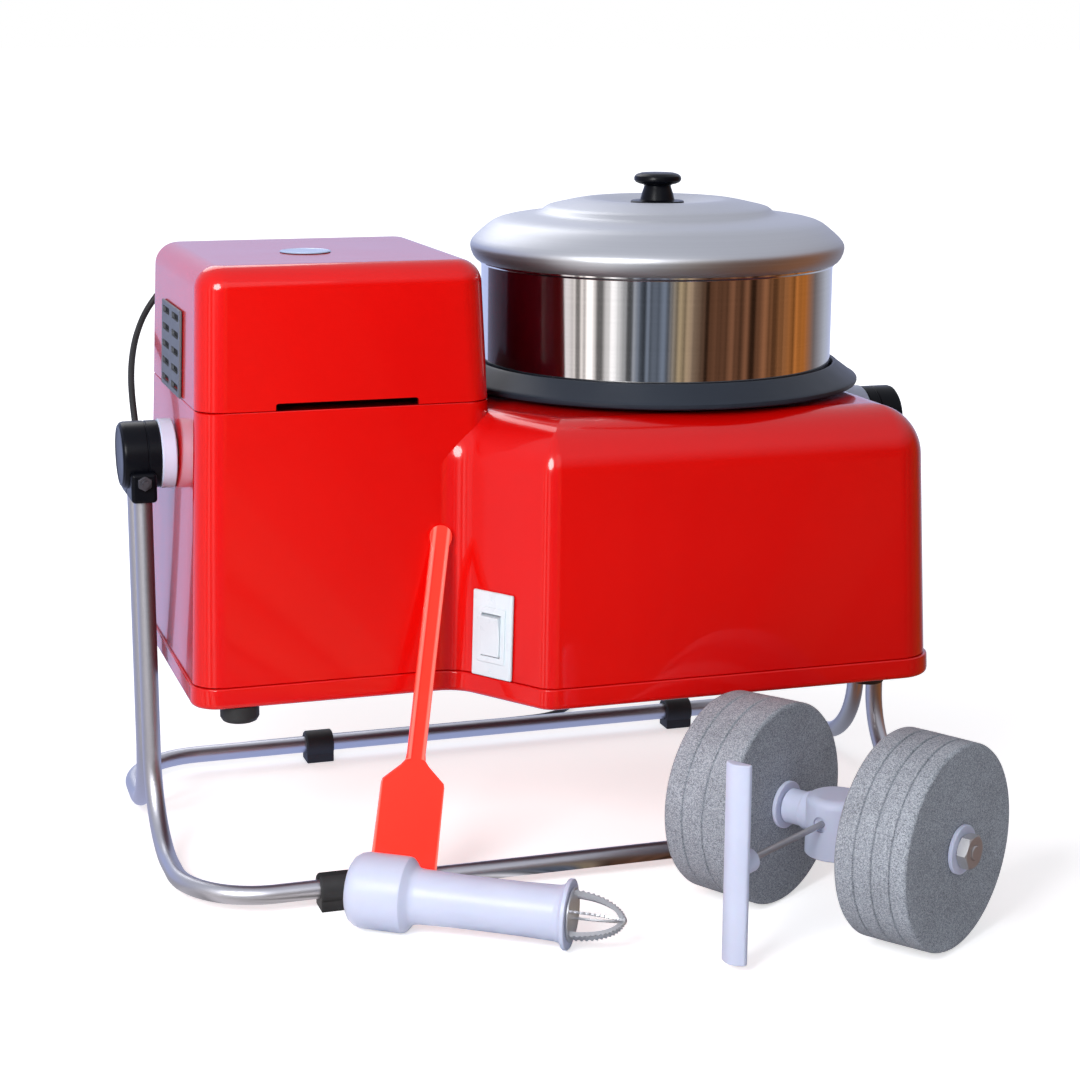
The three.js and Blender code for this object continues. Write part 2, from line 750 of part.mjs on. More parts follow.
// Pivot pins and their white spacers
function addPivots(group) {
  const leftFace = -towerLeft + lean(pivotHeight - spacerRadius);
  const rightFace = deckRight + lean(pivotHeight - spacerRadius);
  for (const [side, name, face] of [[-1, "left", leftFace], [1, "right", rightFace]]) {
    const inside = face - pinSeat;
    const pin = turned([
      [0, inside - pinFlangeThickness], [pinFlange, inside - pinFlangeThickness], [pinFlange, inside],
      [pinRadius, inside], [pinRadius, clampReach - clampEnd - gap], [0, clampReach - clampEnd - gap],
    ], smallSteps);
    const spacer = ring(spacerRadius, bore(pinRadius), face + gap, clampReach - clampLength - gap);
    for (const [piece, shape, look] of [["pin", pin, zincSteel()], ["spacer", spacer, whitePlastic()]]) {
      const mesh = add(group, `pivot_${piece}_${name}`, alongX(shape), look);
      mesh.position.z = pivotHeight;
      mesh.rotation.z = side < 0 ? Math.PI : 0;
    }
  }
}

// Grille on the tower's left side, and the blank badge on its top
function grille() {
  const halfY = grilleWidth / 2;
  const halfZ = grilleHeight / 2;
  const slots = [];
  for (let column = 0; column < grilleColumns; column++) {
    for (let row = 0; row < grilleRows; row++) {
      const y = ((column + 1 / 2) / grilleColumns - 1 / 2) * grilleWidth;
      const z = ((row + 1 / 2) / grilleRows - 1 / 2) * grilleHeight;
      slots.push(block(
        -grilleThickness - overrun, overrun,
        y - louvreWidth / 2, y + louvreWidth / 2, z - louvreHeight / 2, z + louvreHeight / 2,
      ));
    }
  }
  return cut(block(-grilleThickness - gap, -gap, -halfY, halfY, -halfZ, halfZ), ...slots);
}

function addTrim(group) {
  const vent = add(group, "vent_grille", grille(), greyPaint());
  vent.position.set(towerLeft - lean(grilleZ), grilleY, grilleZ);
  vent.rotation.y = Math.atan(draftShare);
  const badge = rod(badgeRadius, towerTop + gap, towerTop + gap + badgeThickness, roundSteps);
  add(group, "top_badge", badge, slateBlue()).position.set(badgeX, badgeY, 0);
}

// Switch, let into the slanted cheek beside the knee
const cheekTurn = Math.atan2(deckFront - towerFront, cheekRun(towerFront - deckFront));

function onCheek(shape) {
  const share = switchShare;
  const along = [
    kneeX - share * cheekRun(towerFront - deckFront),
    deckFront + share * (towerFront - deckFront),
  ];
  const out = lean(switchZ);
  const x = along[0] + out * Math.sin(cheekTurn);
  const y = along[1] - out * Math.cos(cheekTurn);
  return shape.rotateX(-Math.atan(draftShare)).rotateZ(cheekTurn).translate(x, y, switchZ);
}

// The box behind the plate, its front face at y = 0 and its depth along +Y
function switchBody(clearance) {
  const half = rockerWidth / 2 + switchBoxMargin + clearance;
  const high = rockerHeight / 2 + switchBoxMargin + clearance;
  return block(-half, half, -switchThickness - overrun * clearance, switchBoxDepth, -high, high);
}

function switchPlate() {
  const half = switchWidth / 2;
  const high = switchHeight / 2;
  const edge = switchThickness / 2;
  const plate = join(
    block(-half, half, -edge, -gap, -high, high),
    block(-half + edge / 2, half - edge / 2, -switchThickness, -gap, -high + edge / 2, high - edge / 2),
    cut(switchBody(0), block(-half, half, -switchThickness - overrun, -gap, -high, high)),
  );
  const well = block(
    -rockerWidth / 2, rockerWidth / 2, -switchThickness - overrun, rockerSeat + overrun,
    -rockerHeight / 2, rockerHeight / 2,
  );
  return cut(plate, well);
}

// The rocker's side view is drawn along Z, its face towards -Y and dished
function rocker() {
  const high = rockerHeight / 2 - rockerSwing;
  const slice = new THREE.Shape();
  slice.moveTo(-high, 0);
  slice.lineTo(high, 0);
  slice.lineTo(high, rockerThickness);
  slice.quadraticCurveTo(0, rockerThickness - 2 * rockerSwing, -high, rockerThickness);
  slice.closePath();
  const width = rockerWidth - 2 * gap;
  const shape = new THREE.ExtrudeGeometry(slice, {
    depth: width, bevelEnabled: false, curveSegments: cornerSteps,
  });
  return shape.rotateX(Math.PI).rotateY(-Math.PI / 2).translate(-width / 2, rockerSeat, 0);
}

// Drive: motor, its pulley and fan, belt, drum pulley, shaft and bearing
function motor() {
  const body = turned([
    [0, motorBottom], [motorRadius - wall, motorBottom], [motorRadius, motorBottom + wall],
    [motorRadius, motorTop - wall], [motorRadius - wall, motorTop], [0, motorTop],
  ]);
  return cut(body, rod(bore(motorShaftRadius), motorBottom - overrun, motorTop + overrun, roundSteps));
}

function motorBracket() {
  const bottom = motorBottom - gap - bracketThickness;
  const plate = block(-bracketReachX, bracketReachX, -bracketReachY, bracketReachY, bottom, motorBottom - gap);
  const posts = [-1, 1].flatMap((i) =>
    [-1, 1].map((j) =>
      rod(bracketPost, trayBottom + wall + gap, bottom + bracketThickness / 2).translate(
        i * (bracketReachX - bracketPost), j * (bracketReachY - bracketPost), 0,
      ),
    ),
  );
  return cut(join(plate, ...posts), rod(2 * motorShaftRadius, trayBottom, motorBottom + overrun, roundSteps));
}

function pulley(radius, shaft) {
  const top = pulleyBottom + pulleyHeight;
  const middle = (pulleyBottom + top) / 2;
  const hole = shaft + gap;
  return turned([
    [hole, pulleyBottom], [radius, pulleyBottom], [radius, middle - beltHeight / 2 - gap],
    [radius - pulleyGroove, middle - beltHeight / 2 - gap],
    [radius - pulleyGroove, middle + beltHeight / 2 + gap], [radius, middle + beltHeight / 2 + gap],
    [radius, top], [hole, top], [hole, pulleyBottom],
  ]);
}

// The belt's loop round both pulleys, at a distance out from the grooves
function beltLoop(out) {
  const small = motorPulleyRadius - pulleyGroove + out;
  const large = drumPulleyRadius - pulleyGroove + out;
  const turn = Math.acos((small - large) / (drumX - motorX));
  const points = [];
  const sweep = (x, radius, from, to, steps) => {
    for (let k = 0; k <= steps; k++) {
      const angle = from + ((to - from) * k) / steps;
      points.push(new THREE.Vector2(x + radius * Math.cos(angle), radius * Math.sin(angle)));
    }
  };
  sweep(drumX, large, -turn, turn, roundSteps);
  sweep(motorX, small, turn, 2 * Math.PI - turn, smallSteps / 2);
  return points;
}

function driveBelt() {
  const shape = new THREE.Shape(beltLoop(beltLift + beltThickness));
  shape.holes.push(new THREE.Path(beltLoop(beltLift)));
  const loop = new THREE.ExtrudeGeometry(shape, { depth: beltHeight, bevelEnabled: false });
  return loop.translate(0, 0, pulleyBottom + (pulleyHeight - beltHeight) / 2);
}

function coolingFan() {
  const bottom = motorTop + fanClearance;
  const hub = rod(fanHub, bottom, bottom + fanHeight, roundSteps);
  const blades = Array.from({ length: fanBlades }, (_, i) =>
    block(fanHub / 2, fanRadius, -fanBladeThickness / 2, fanBladeThickness / 2, bottom, bottom + fanHeight)
      .rotateZ((2 * Math.PI * i) / fanBlades),
  );
  const hole = rod(bore(motorShaftRadius), bottom - overrun, bottom + fanHeight + overrun, roundSteps);
  return cut(join(hub, ...blades), hole);
}

function bearingHousing() {
  const top = deckTop - wall - gap;
  const hole = bore(drumShaftRadius, smallSteps);
  const bottom = deckTop - bearingLength;
  return turned([
    [hole, bottom], [bearingRadius, bottom], [bearingRadius, top - bearingFlangeThickness],
    [bearingFlange, top - bearingFlangeThickness], [bearingFlange, top], [hole, top], [hole, bottom],
  ], smallSteps);
}

function addMotor(group) {
  add(group, "motor", motor(), greyPaint()).position.x = motorX;
  add(group, "motor_bracket", motorBracket(), zincSteel()).position.x = motorX;
  add(group, "drive_belt", driveBelt(), blackRubber());
  add(group, "bearing_housing", bearingHousing(), greyPaint()).position.x = drumX;
}

function addRotor(group) {
  const shaftTop = motorTop + fanClearance + fanHeight;
  add(group, "motor_shaft", rod(motorShaftRadius, pulleyBottom - shaftStub, shaftTop), zincSteel());
  add(group, "motor_pulley", pulley(motorPulleyRadius, motorShaftRadius), satinAluminium());
  add(group, "cooling_fan", coolingFan(), blackPlastic());
}

// Drum: shaft, pulley and the black turntable that carries the pan
function turntable() {
  const floor = ringBottom + ringFloor;
  return turned([
    [0, ringBottom], [ringRadius - ringFloor, ringBottom], [ringRadius, ringBottom + ringFloor / 2],
    [ringRadius, ringBottom + ringLip], [panRadius + ringCrest + wall, ringTop],
    [panRadius + ringCrest, ringTop],
    [panRadius + 2 * gap, ringTop - wall], [panRadius + 2 * gap, floor], [0, floor],
  ], fineSteps);
}

function addDrum(group) {
  add(group, "drum_shaft", rod(
    drumShaftRadius, pulleyBottom, ringBottom - gap, roundSteps,
  ), zincSteel());
  add(group, "drum_pulley", pulley(drumPulleyRadius, drumShaftRadius), satinAluminium());
  add(group, "turntable", turntable(), blackPlastic());
}

// Pan with its stone bed and centre post
const panBottom = ringBottom + ringFloor + gap;

function pan() {
  const floor = panBottom + panWall;
  const inner = panRadius - panWall;
  return turned([
    [0, panBottom], [panRadius - panCorner, panBottom], [panRadius, panBottom + panCorner],
    [panRadius, panTop - 2 * beadRadius], [panRadius + beadRadius, panTop - beadRadius], [panRadius, panTop],
    [inner, panTop], [inner, floor + panCorner], [inner - panCorner, floor], [0, floor],
  ], fineSteps);
}

function addPan(group) {
  add(group, "drum_pan", pan(), polishedSteel());
  const bed = panBottom + panWall + gap;
  const top = bed + stoneBedHeight;
  add(group, "stone_bed", turned([
    [bore(postRadius), bed], [stoneBedRadius - stoneChamfer, bed], [stoneBedRadius, bed + stoneChamfer],
    [stoneBedRadius, top - stoneChamfer], [stoneBedRadius - stoneChamfer, top], [bore(postRadius), top],
    [bore(postRadius), bed],
  ], fineSteps), granite());
  add(group, "centre_post", turned([
    [0, bed], [postRadius, bed], [postRadius, top + stoneBedHeight / 2], [postTopRadius, top + stoneBedHeight],
    [postTopRadius, postTop - stoneChamfer], [postTopRadius - stoneChamfer, postTop], [0, postTop],
  ]), zincSteel());
}

// Lid: a spun sheet with a rounded shoulder, a step and a dished middle, the knob seated on it
function lid() {
  const rest = panTop + gap;
  const placed = (shares) => shares.map(([across, up]) => [across * lidRadius, lidBottom + up * lidHeight]);
  return turned([
    ...placed(lidOuterShares), ...placed(lidInnerShares),
    [lidRadius - lidLip, rest], [panRadius + beadRadius + gap, rest],
    [panRadius + beadRadius + gap, lidBottom], ...placed(lidOuterShares.slice(0, 1)),
  ], fineSteps);
}

function knob() {
  return turned(knobShares.map(([across, up]) => [across * knobRadius, knobBottom + up * knobHeight]));
}

function addLid(group) {
  add(group, "lid", lid(), satinAluminium());
  add(group, "lid_knob", knob(), blackPlastic());
}

// Roller set: the axle lies along the group's own X
function stone(groovesShare) {
  const outer = stoneInner + stoneWidth;
  const radiusAt = (x) => stoneRadius - (stoneTaper * (x - stoneInner)) / stoneWidth;
  const edge = [
    [bore(axleRadius + bushFlange), stoneInner], [radiusAt(stoneInner) - stoneChamfer, stoneInner],
    [radiusAt(stoneInner), stoneInner + stoneChamfer],
  ];
  for (const share of [...groovesShare].reverse()) {
    const x = outer - share * stoneWidth;
    const radius = radiusAt(x);
    edge.push([radius, x - grooveWidth / 2], [radius - grooveDepth, x], [radius, x + grooveWidth / 2]);
  }
  edge.push([radiusAt(outer), outer - stoneChamfer], [radiusAt(outer) - stoneChamfer, outer]);
  edge.push([bore(axleRadius + bushFlange), outer], edge[0]);
  return alongX(turned(edge, stoneSteps));
}

// A flanged bush in each face of a stone, both in one piece
function stoneBush() {
  const outer = stoneInner + stoneWidth;
  const hole = bore(axleRadius);
  const body = axleRadius + bushFlange;
  return alongX(turned([
    [hole, stoneInner - bushFlange], [bushRadius, stoneInner - bushFlange], [bushRadius, stoneInner - gap],
    [body, stoneInner - gap], [body, outer + gap], [bushRadius, outer + gap],
    [bushRadius, outer + bushFlange], [hole, outer + bushFlange], [hole, stoneInner - bushFlange],
  ]));
}

function rollerHub() {
  const post = rod(hubRadius, hubBottom, hubTop, roundSteps);
  const sleeve = alongX(rod(sleeveRadius, -sleeveEnd, sleeveEnd, roundSteps)).translate(0, 0, axleHeight);
  const rodHole = alongY(rod(bore(wiperRodRadius), -hubRadius - overrun, -axleRadius - 2 * gap));
  return cut(
    join(post, sleeve),
    rod(hubBore, hubBottom - overrun, hubBoreTop, roundSteps),
    alongX(rod(bore(axleRadius), -sleeveEnd - overrun, sleeveEnd + overrun, roundSteps))
      .translate(0, 0, axleHeight),
    rodHole.translate(0, 0, axleHeight),
  );
}

function nut(side) {
  const from = stoneInner + stoneWidth + bushFlange + gap;
  const shape = cut(
    rod(nutRadius, from, from + nutHeight, 6),
    rod(bore(axleRadius), from - overrun, from + nutHeight + overrun, roundSteps),
  );
  return alongX(shape).rotateZ(side < 0 ? Math.PI : 0).translate(0, 0, axleHeight);
}

function addRollers(group) {
  add(group, "roller_hub", rollerHub(), whitePlastic());
  const axleEnd = stoneInner + stoneWidth + bushFlange + gap + nutHeight + axleProud;
  const axle = alongX(rod(axleRadius, -axleEnd, axleEnd)).translate(0, 0, axleHeight);
  add(group, "roller_axle", axle, zincSteel());
  for (const [side, name, grooves] of [[-1, "left", leftGroovesShare], [1, "right", rightGroovesShare]]) {
    for (const [piece, shape, look] of [
      ["stone", stone(grooves), granite()], ["bush", stoneBush(), whitePlastic()],
    ]) {
      const mesh = add(group, `${piece}_${name}`, shape, look);
      mesh.position.z = axleHeight;
      mesh.rotation.z = side < 0 ? Math.PI : 0;
    }
    add(group, `axle_nut_${name}`, nut(side), zincSteel());
  }
}

// Wiper: a rod out of the hub's front with an upright blade on its end
function addWiper(group) {
  const face = -wiperReach + wiperThickness / 2;
  const stop = face + wiperBossLength;
  const shank = alongY(rod(wiperRodRadius, face + wall, -wiperRodFrom));
  add(group, "wiper_rod", shank.translate(0, 0, axleHeight), zincSteel());
  const half = wiperWidth / 2;
  const slice = new THREE.Shape();
  slice.moveTo(-half, face);
  slice.lineTo(-half, face - wiperThickness / 2);
  slice.quadraticCurveTo(0, face - 3 * wiperThickness / 2, half, face - wiperThickness / 2);
  slice.lineTo(half, face);
  slice.closePath();
  const bar = new THREE.ExtrudeGeometry(slice, {
    depth: wiperTop - wiperBottom, bevelEnabled: false, curveSegments: cornerSteps,
  }).translate(0, 0, wiperBottom);
  const boss = alongY(rod(wiperBoss, face - wiperThickness / 4, stop, roundSteps)).translate(0, 0, axleHeight);
  const hole = alongY(rod(bore(wiperRodRadius), face + wall - gap, stop + overrun));
  add(group, "wiper_blade", cut(join(bar, boss), hole.translate(0, 0, axleHeight)), whitePlastic());
}

// Coconut scraper, lying on its cap and flange with its axis along the group's own X
function scraperBody() {
  const end = barrelEnd + flangeThickness;
  const shape = turned([
    [0, 0], [capRadius - capCorner, 0], [capRadius - capCorner / 4, capCorner / 3], [capRadius, capCorner],
    [capRadius, capLength - capShoulder], [barrelRadius, capLength], [barrelWaist, (capLength + barrelEnd) / 2],
    [barrelRadius, barrelEnd - capShoulder], [flangeRadius, barrelEnd], [flangeRadius, end], [0, end],
  ]);
  return cut(alongX(shape), alongX(rod(socketRadius, -overrun, socketDepth, roundSteps)));
}

function bladeStrip() {
  const outer = [];
  const inner = [];
  for (let k = 0; k <= 2 * bladeTeeth; k++) {
    const angle = -Math.PI / 2 + (Math.PI * k) / (2 * bladeTeeth);
    const tooth = k % 2 ? toothDepth : 0;
    const point = (radius, reach) => new THREE.Vector2(reach * Math.cos(angle), radius * Math.sin(angle));
    outer.push(point(bladeRadius - tooth, bladeReach - tooth));
    if (k % cornerSteps === 0) inner.push(point(bladeRadius - bladeWidth, bladeReach - bladeWidth));
  }
  const shape = new THREE.Shape([...outer, ...inner.reverse()]);
  const strip = new THREE.ExtrudeGeometry(shape, { depth: bladeThickness, bevelEnabled: false });
  return strip.translate(0, 0, -bladeThickness / 2);
}

function scraperBladeSet() {
  const strips = Array.from({ length: scraperBlades }, (_, i) =>
    bladeStrip().rotateX((Math.PI * (i + 1 / 2)) / scraperBlades),
  );
  const from = barrelEnd + flangeThickness + gap;
  const disc = alongX(rod(bladeRadius, 0, flangeThickness / 2, roundSteps));
  return join(...strips, disc).translate(from, 0, 0);
}

function addScraper(group) {
  const rest = capLength - capShoulder;
  const tip = Math.asin((capRadius - flangeRadius) / (barrelEnd - rest));
  group.position.set(scraperX, scraperY, capRadius + gap + rest * Math.sin(tip));
  group.rotation.set(0, tip, scraperTurn, "ZYX");
  add(group, "scraper_body", scraperBody(), whitePlastic());
  add(group, "scraper_blades", scraperBladeSet(), zincSteel());
}

// Spatula: its outline lies in X and Y, from the blade's lower edge up the handle
function spatulaShape(length) {
  const shape = new THREE.Shape();
  const blade = spatulaBladeWidth / 2;
  const shoulder = spatulaShoulderWidth / 2;
  const grip = spatulaHandleWidth / 2;
  const neck = spatulaBladeLength + spatulaNeckLength;
  const head = length - spatulaKnobRadius;
  shape.moveTo(-blade, 0);
  shape.lineTo(blade, 0);
  shape.lineTo(shoulder, spatulaBladeLength);
  shape.quadraticCurveTo(grip, spatulaBladeLength + spatulaNeckLength / 4, grip, neck);
  const tuck = Math.asin(grip / spatulaKnobRadius);
  shape.absarc(0, head, spatulaKnobRadius, tuck - Math.PI / 2, 3 * Math.PI / 2 - tuck);
  shape.lineTo(-grip, neck);
  shape.quadraticCurveTo(-grip, spatulaBladeLength + spatulaNeckLength / 4, -shoulder, spatulaBladeLength);
  shape.closePath();
  return shape;
}

function addSpatula(group) {
  const foot = new THREE.Vector3(spatulaFootX, spatulaFootY, spatulaLift);
  const head = new THREE.Vector3(spatulaHeadX, spatulaHeadY, spatulaHeadZ);
  const up = head.clone().sub(foot);
  const length = up.length();
  up.normalize();
  const across = new THREE.Vector3(1, 0, 0).addScaledVector(up, -up.x).normalize();
  const facing = across.clone().cross(up);
  const plate = new THREE.ExtrudeGeometry(spatulaShape(length), {
    depth: spatulaThickness, bevelEnabled: false, curveSegments: bendSteps,
  });
  const ribFrom = spatulaBladeLength + spatulaNeckLength;
  const ribs = [-1, 1].map((side) => {
    const x = side * (spatulaHandleWidth / 2 - spatulaRib);
    const high = spatulaThickness + spatulaRib;
    return block(x - spatulaRib / 2, x + spatulaRib / 2, ribFrom, length - 2 * spatulaKnobRadius, gap, high);
  });
  const mesh = add(group, "spatula", join(plate, ...ribs), redPlastic());
  mesh.matrixAutoUpdate = false;
  mesh.matrix.makeBasis(across, up, facing).setPosition(foot);
}

// Cord: relief, lead, tube on the floor, coil, tie and plug
const rearFace = towerRear + lean(glandZ - glandFlange);

function gland() {
  return turned([
    [0, 0], [glandFlange, 0], [glandFlange, glandFlangeThickness], [glandWide, glandFlangeThickness],
    [glandNarrow, glandLength], [0, glandLength],
  ], smallSteps);
}

// The coil winds in on the floor layer, climbs, and winds out on top, then runs to the plug
function coilRoute() {
  const points = [new THREE.Vector3(coilX - 2 * cordRadius, coilY - coilOuter, coilBottom)];
  const steps = coilTurns * coilLoopSteps;
  for (let k = 0; k <= 2 * steps; k++) {
    const inward = Math.min(k, 2 * steps - k) / coilLoopSteps;
    const radius = coilOuter - coilPitch * inward;
    const climb = THREE.MathUtils.smoothstep(k, steps - coilLoopSteps / 4, steps + coilLoopSteps / 4);
    const angle = (2 * Math.PI * k) / coilLoopSteps - Math.PI / 2;
    const z = coilBottom + coilPitch * climb;
    points.push(new THREE.Vector3(coilX + radius * Math.cos(angle), coilY + radius * Math.sin(angle), z));
  }
  return [...points, ...tailRoute.map((p) => new THREE.Vector3(...p))];
}

// The least gap between stretches of the coil that are more than a third of a loop apart
function leastGap(points, radius) {
  let least = Infinity;
  for (let i = 0; i < points.length; i++) {
    for (let j = i + coilLoopSteps / 3; j < points.length - 1; j++) {
      const line = new THREE.Line3(points[j], points[j + 1]);
      const near = line.closestPointToPoint(points[i], true, new THREE.Vector3());
      least = Math.min(least, near.distanceTo(points[i]));
    }
  }
  return least - 2 * radius;
}

function tie() {
  const inner = coilOuter - coilPitch * coilTurns - cordRadius;
  const outer = coilOuter + cordRadius;
  const low = coilBottom - cordRadius;
  const high = coilBottom + coilPitch + cordRadius;
  const band = (out) => block(
    inner - out, outer + out, -tieWidth / 2, tieWidth / 2, low - out, high + out,
  );
  const hole = block(inner - 2 * gap, outer + 2 * gap, -tieWidth, tieWidth, low - 2 * gap, high + 2 * gap);
  return cut(band(2 * gap + tieThickness), hole);
}

function plugBody() {
  const waist = plugRadius - plugGrip / 2;
  return alongX(turned([
    [0, 0], [plugReliefNarrow, 0], [plugReliefWide, plugReliefLength], [waist, plugReliefLength],
    [waist + plugGrip / 4, plugReliefLength + plugGrip], [plugRadius, plugReliefLength + 2 * plugGrip],
    [plugRadius, plugReliefLength + plugLength], [0, plugReliefLength + plugLength],
  ]));
}

function plugPins() {
  const from = plugReliefLength + plugLength + gap;
  const pin = (radius, length) => alongX(rod(radius, from + plugPinRadius / 2, from + length));
  const plate = alongX(rod(plugRadius - plugGrip / 2, from, from + plugPinRadius, roundSteps));
  return join(
    plate,
    pin(plugPinRadius, plugPinLength).translate(0, plugPinSpread, -plugEarthLift / 2),
    pin(plugPinRadius, plugPinLength).translate(0, -plugPinSpread, -plugEarthLift / 2),
    pin(plugEarthRadius, plugEarthLength).translate(0, 0, plugEarthLift),
  );
}

const cordPieces = ["cord_lead", "cord_tube", "cord_coil", "cord_tie", "plug_body", "plug_pins"];

function addCord(group) {
  const relief = add(group, "cord_relief", alongY(gland()).rotateY(Math.PI), blackRubber());
  relief.position.set(glandX, rearFace + gap, glandZ);
  add(group, "cord_lead", tube(smooth(leadRoute, cordStep), cordRadius, cordSides), blackRubber());
  add(group, "cord_tube", tube(smooth(tubeRoute, cordStep), cordRadius, cordSides), blackRubber());
  const coil = coilRoute();
  console.log(`cord_coil least gap ${leastGap(coil, cordRadius).toFixed(2)} mm`);
  add(group, "cord_coil", tube(coil, cordRadius, coilSides), blackRubber());
  add(group, "cord_tie", tie(), whitePlastic()).position.set(coilX, coilY, 0);
  const plugX = tailRoute.at(-1)[0] + gap;
  for (const [name, shape, look] of [
    ["plug_body", plugBody(), blackPlastic()], ["plug_pins", plugPins(), zincSteel()],
  ]) {
    add(group, name, shape, look).position.set(plugX, coilY - coilOuter, plugLift);
  }
}

// The whole, with its origin on the floor under the middle of its outer box, the cord left out
function grinder() {
  const whole = new THREE.Group();
  const inGroup = (place, fill) => {
    const group = new THREE.Group();
    group.position.set(...place);
    whole.add(group);
    fill(group);
    return group;
  };
  inGroup([0, 0, 0], addStand);
  inGroup([0, 0, 0], addClamps);
  inGroup([0, 0, 0], addShells);
  inGroup([0, 0, 0], addPivots);
  inGroup([0, 0, 0], addTrim);
  inGroup([0, 0, 0], (group) => {
    add(group, "switch_plate", onCheek(switchPlate()), whitePlastic());
    add(group, "switch_rocker", onCheek(rocker().rotateX(rockerTilt)), whitePlastic());
  });
  inGroup([0, 0, 0], addMotor);
  inGroup([motorX, 0, 0], addRotor);
  inGroup([drumX, 0, 0], addDrum);
  inGroup([drumX, 0, 0], addPan);
  inGroup([drumX, 0, 0], addLid);
  inGroup([rollerX, rollerY, 0], addRollers).rotation.z = rollerTurn;
  inGroup([rollerX, rollerY, 0], addWiper).rotation.z = rollerTurn;
  inGroup([0, 0, 0], addScraper);
  inGroup([0, 0, 0], addSpatula);
  inGroup([0, 0, 0], addCord);
  whole.updateMatrixWorld(true);
  const outer = new THREE.Box3();
  whole.traverse((piece) => {
    if (piece.isMesh && !cordPieces.includes(piece.name)) outer.expandByObject(piece, true);
  });
  const middle = outer.getCenter(new THREE.Vector3());
  whole.position.set(-middle.x, -middle.y, -outer.min.z);
  const origin = [middle.x, middle.y, outer.min.z].map((value) => value.toFixed(3));
  console.log(`origin is at ${origin.join(", ")} of the stand`);
  return whole;
}

const part = new THREE.Group();
part.add(grinder());
export default part;
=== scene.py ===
# A tilting table-top wet grinder with its loose tools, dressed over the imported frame.
# Shapes are drawn in millimetres in the stand's own frame: X along the tilt axis, the front at -Y,
# the floor at Z = FLOOR and the tilt axis over Y = 0. A finished piece is moved to the row frame, in metres.
import json
import math

import bmesh
import bpy
from mathutils import Matrix, Vector


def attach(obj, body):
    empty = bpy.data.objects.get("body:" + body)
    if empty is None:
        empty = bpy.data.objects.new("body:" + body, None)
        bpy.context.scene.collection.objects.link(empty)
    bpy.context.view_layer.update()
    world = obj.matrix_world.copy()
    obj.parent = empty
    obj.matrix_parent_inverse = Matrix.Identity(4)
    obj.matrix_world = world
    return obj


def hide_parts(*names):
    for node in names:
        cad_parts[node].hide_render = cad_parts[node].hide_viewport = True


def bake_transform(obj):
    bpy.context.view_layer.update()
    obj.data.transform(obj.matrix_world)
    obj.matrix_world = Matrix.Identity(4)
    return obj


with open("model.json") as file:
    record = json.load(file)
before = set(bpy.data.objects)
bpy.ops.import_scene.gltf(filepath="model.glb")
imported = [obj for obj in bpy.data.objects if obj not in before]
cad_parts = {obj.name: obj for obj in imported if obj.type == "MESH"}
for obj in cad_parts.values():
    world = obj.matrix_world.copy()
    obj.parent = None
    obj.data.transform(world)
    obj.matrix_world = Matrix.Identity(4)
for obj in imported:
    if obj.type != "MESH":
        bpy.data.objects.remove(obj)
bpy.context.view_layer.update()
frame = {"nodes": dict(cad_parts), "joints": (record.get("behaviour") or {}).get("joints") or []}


# places and directions
def at(x, y, z):
    return Matrix.Translation((x, y, z))


def turn(degrees, axis):
    return Matrix.Rotation(math.radians(degrees), 4, axis)


def row(x, y, z):
    """A point of the stand's frame, in the row frame."""
    return TO_ROW @ Vector((x, y, z))


FLOOR = 3
PIVOT_Y = next(joint["pos_m"][1] for joint in frame["joints"] if joint["name"] == "tilt")
TO_ROW = at(0, PIVOT_Y, 0) @ Matrix.Scale(0.001, 4) @ at(0, 0, -FLOOR)
UP = Vector((0, 0, 1))
ALONG_X, ALONG_Y = turn(90, "Y"), turn(-90, "X")


def link(name, data):
    piece = bpy.data.objects.new(name, data)
    bpy.context.scene.collection.objects.link(piece)
    return piece


# camera
IMAGE, FOCAL_PIXELS = 1080, 2257.2
CAMERA_AT = (-612.37, -1920.84, 720.51)
YAW, PITCH, ROLL = 0.31537, -0.22480, 0.00525

eye = bpy.data.cameras.new("camera")
eye.sensor_width = 36
eye.lens = eye.sensor_width * FOCAL_PIXELS / IMAGE
eye.clip_start, eye.clip_end = 0.05, 200
camera = link("camera", eye)
camera.matrix_world = (
    Matrix.Translation(row(*CAMERA_AT))
    @ Matrix.Rotation(-YAW, 4, "Z")
    @ Matrix.Rotation(math.pi / 2 + PITCH, 4, "X")
    @ Matrix.Rotation(ROLL, 4, "Z")
)
bpy.context.scene.camera = camera
bpy.context.scene.view_settings.view_transform = "Standard"


# making pieces
def mesh_of(bm, name):
    mesh = bpy.data.meshes.new(name)
    bm.to_mesh(mesh)
    bm.free()
    return mesh


def evaluated(piece):
    """A new mesh of the piece as its modifiers or its bevel leave it."""
    return bpy.data.meshes.new_from_object(piece.evaluated_get(bpy.context.evaluated_depsgraph_get()))


def apply_modifiers(piece):
    made = evaluated(piece)
    piece.modifiers.clear()
    piece.data = made


def smooth_shade(mesh, sharp):
    mesh.polygons.foreach_set("use_smooth", [True] * len(mesh.polygons))
    mesh.set_sharp_from_angle(angle=math.radians(sharp))


def seat(piece, body, material, slot, *nodes):
    """Gives a piece its material and its body, and hides the nodes that it stands for; the slot is not used.
    """
    piece.data.materials.clear()
    piece.data.materials.append(material)
    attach(piece, body)
    if nodes:
        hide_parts(*nodes)
    return piece


def settle(name, shape, body, material, slot, *nodes, sharp=30):
    """Makes a shape a piece of the row frame, with even shading between its sharp edges."""
    piece = link(name, mesh_of(shape, name))
    piece.data.transform(TO_ROW)
    smooth_shade(piece.data, sharp)
    weights = piece.modifiers.new("even normals", "WEIGHTED_NORMAL")
    weights.keep_sharp, weights.weight = True, 60
    apply_modifiers(piece)
    return seat(piece, body, material, slot, *nodes)


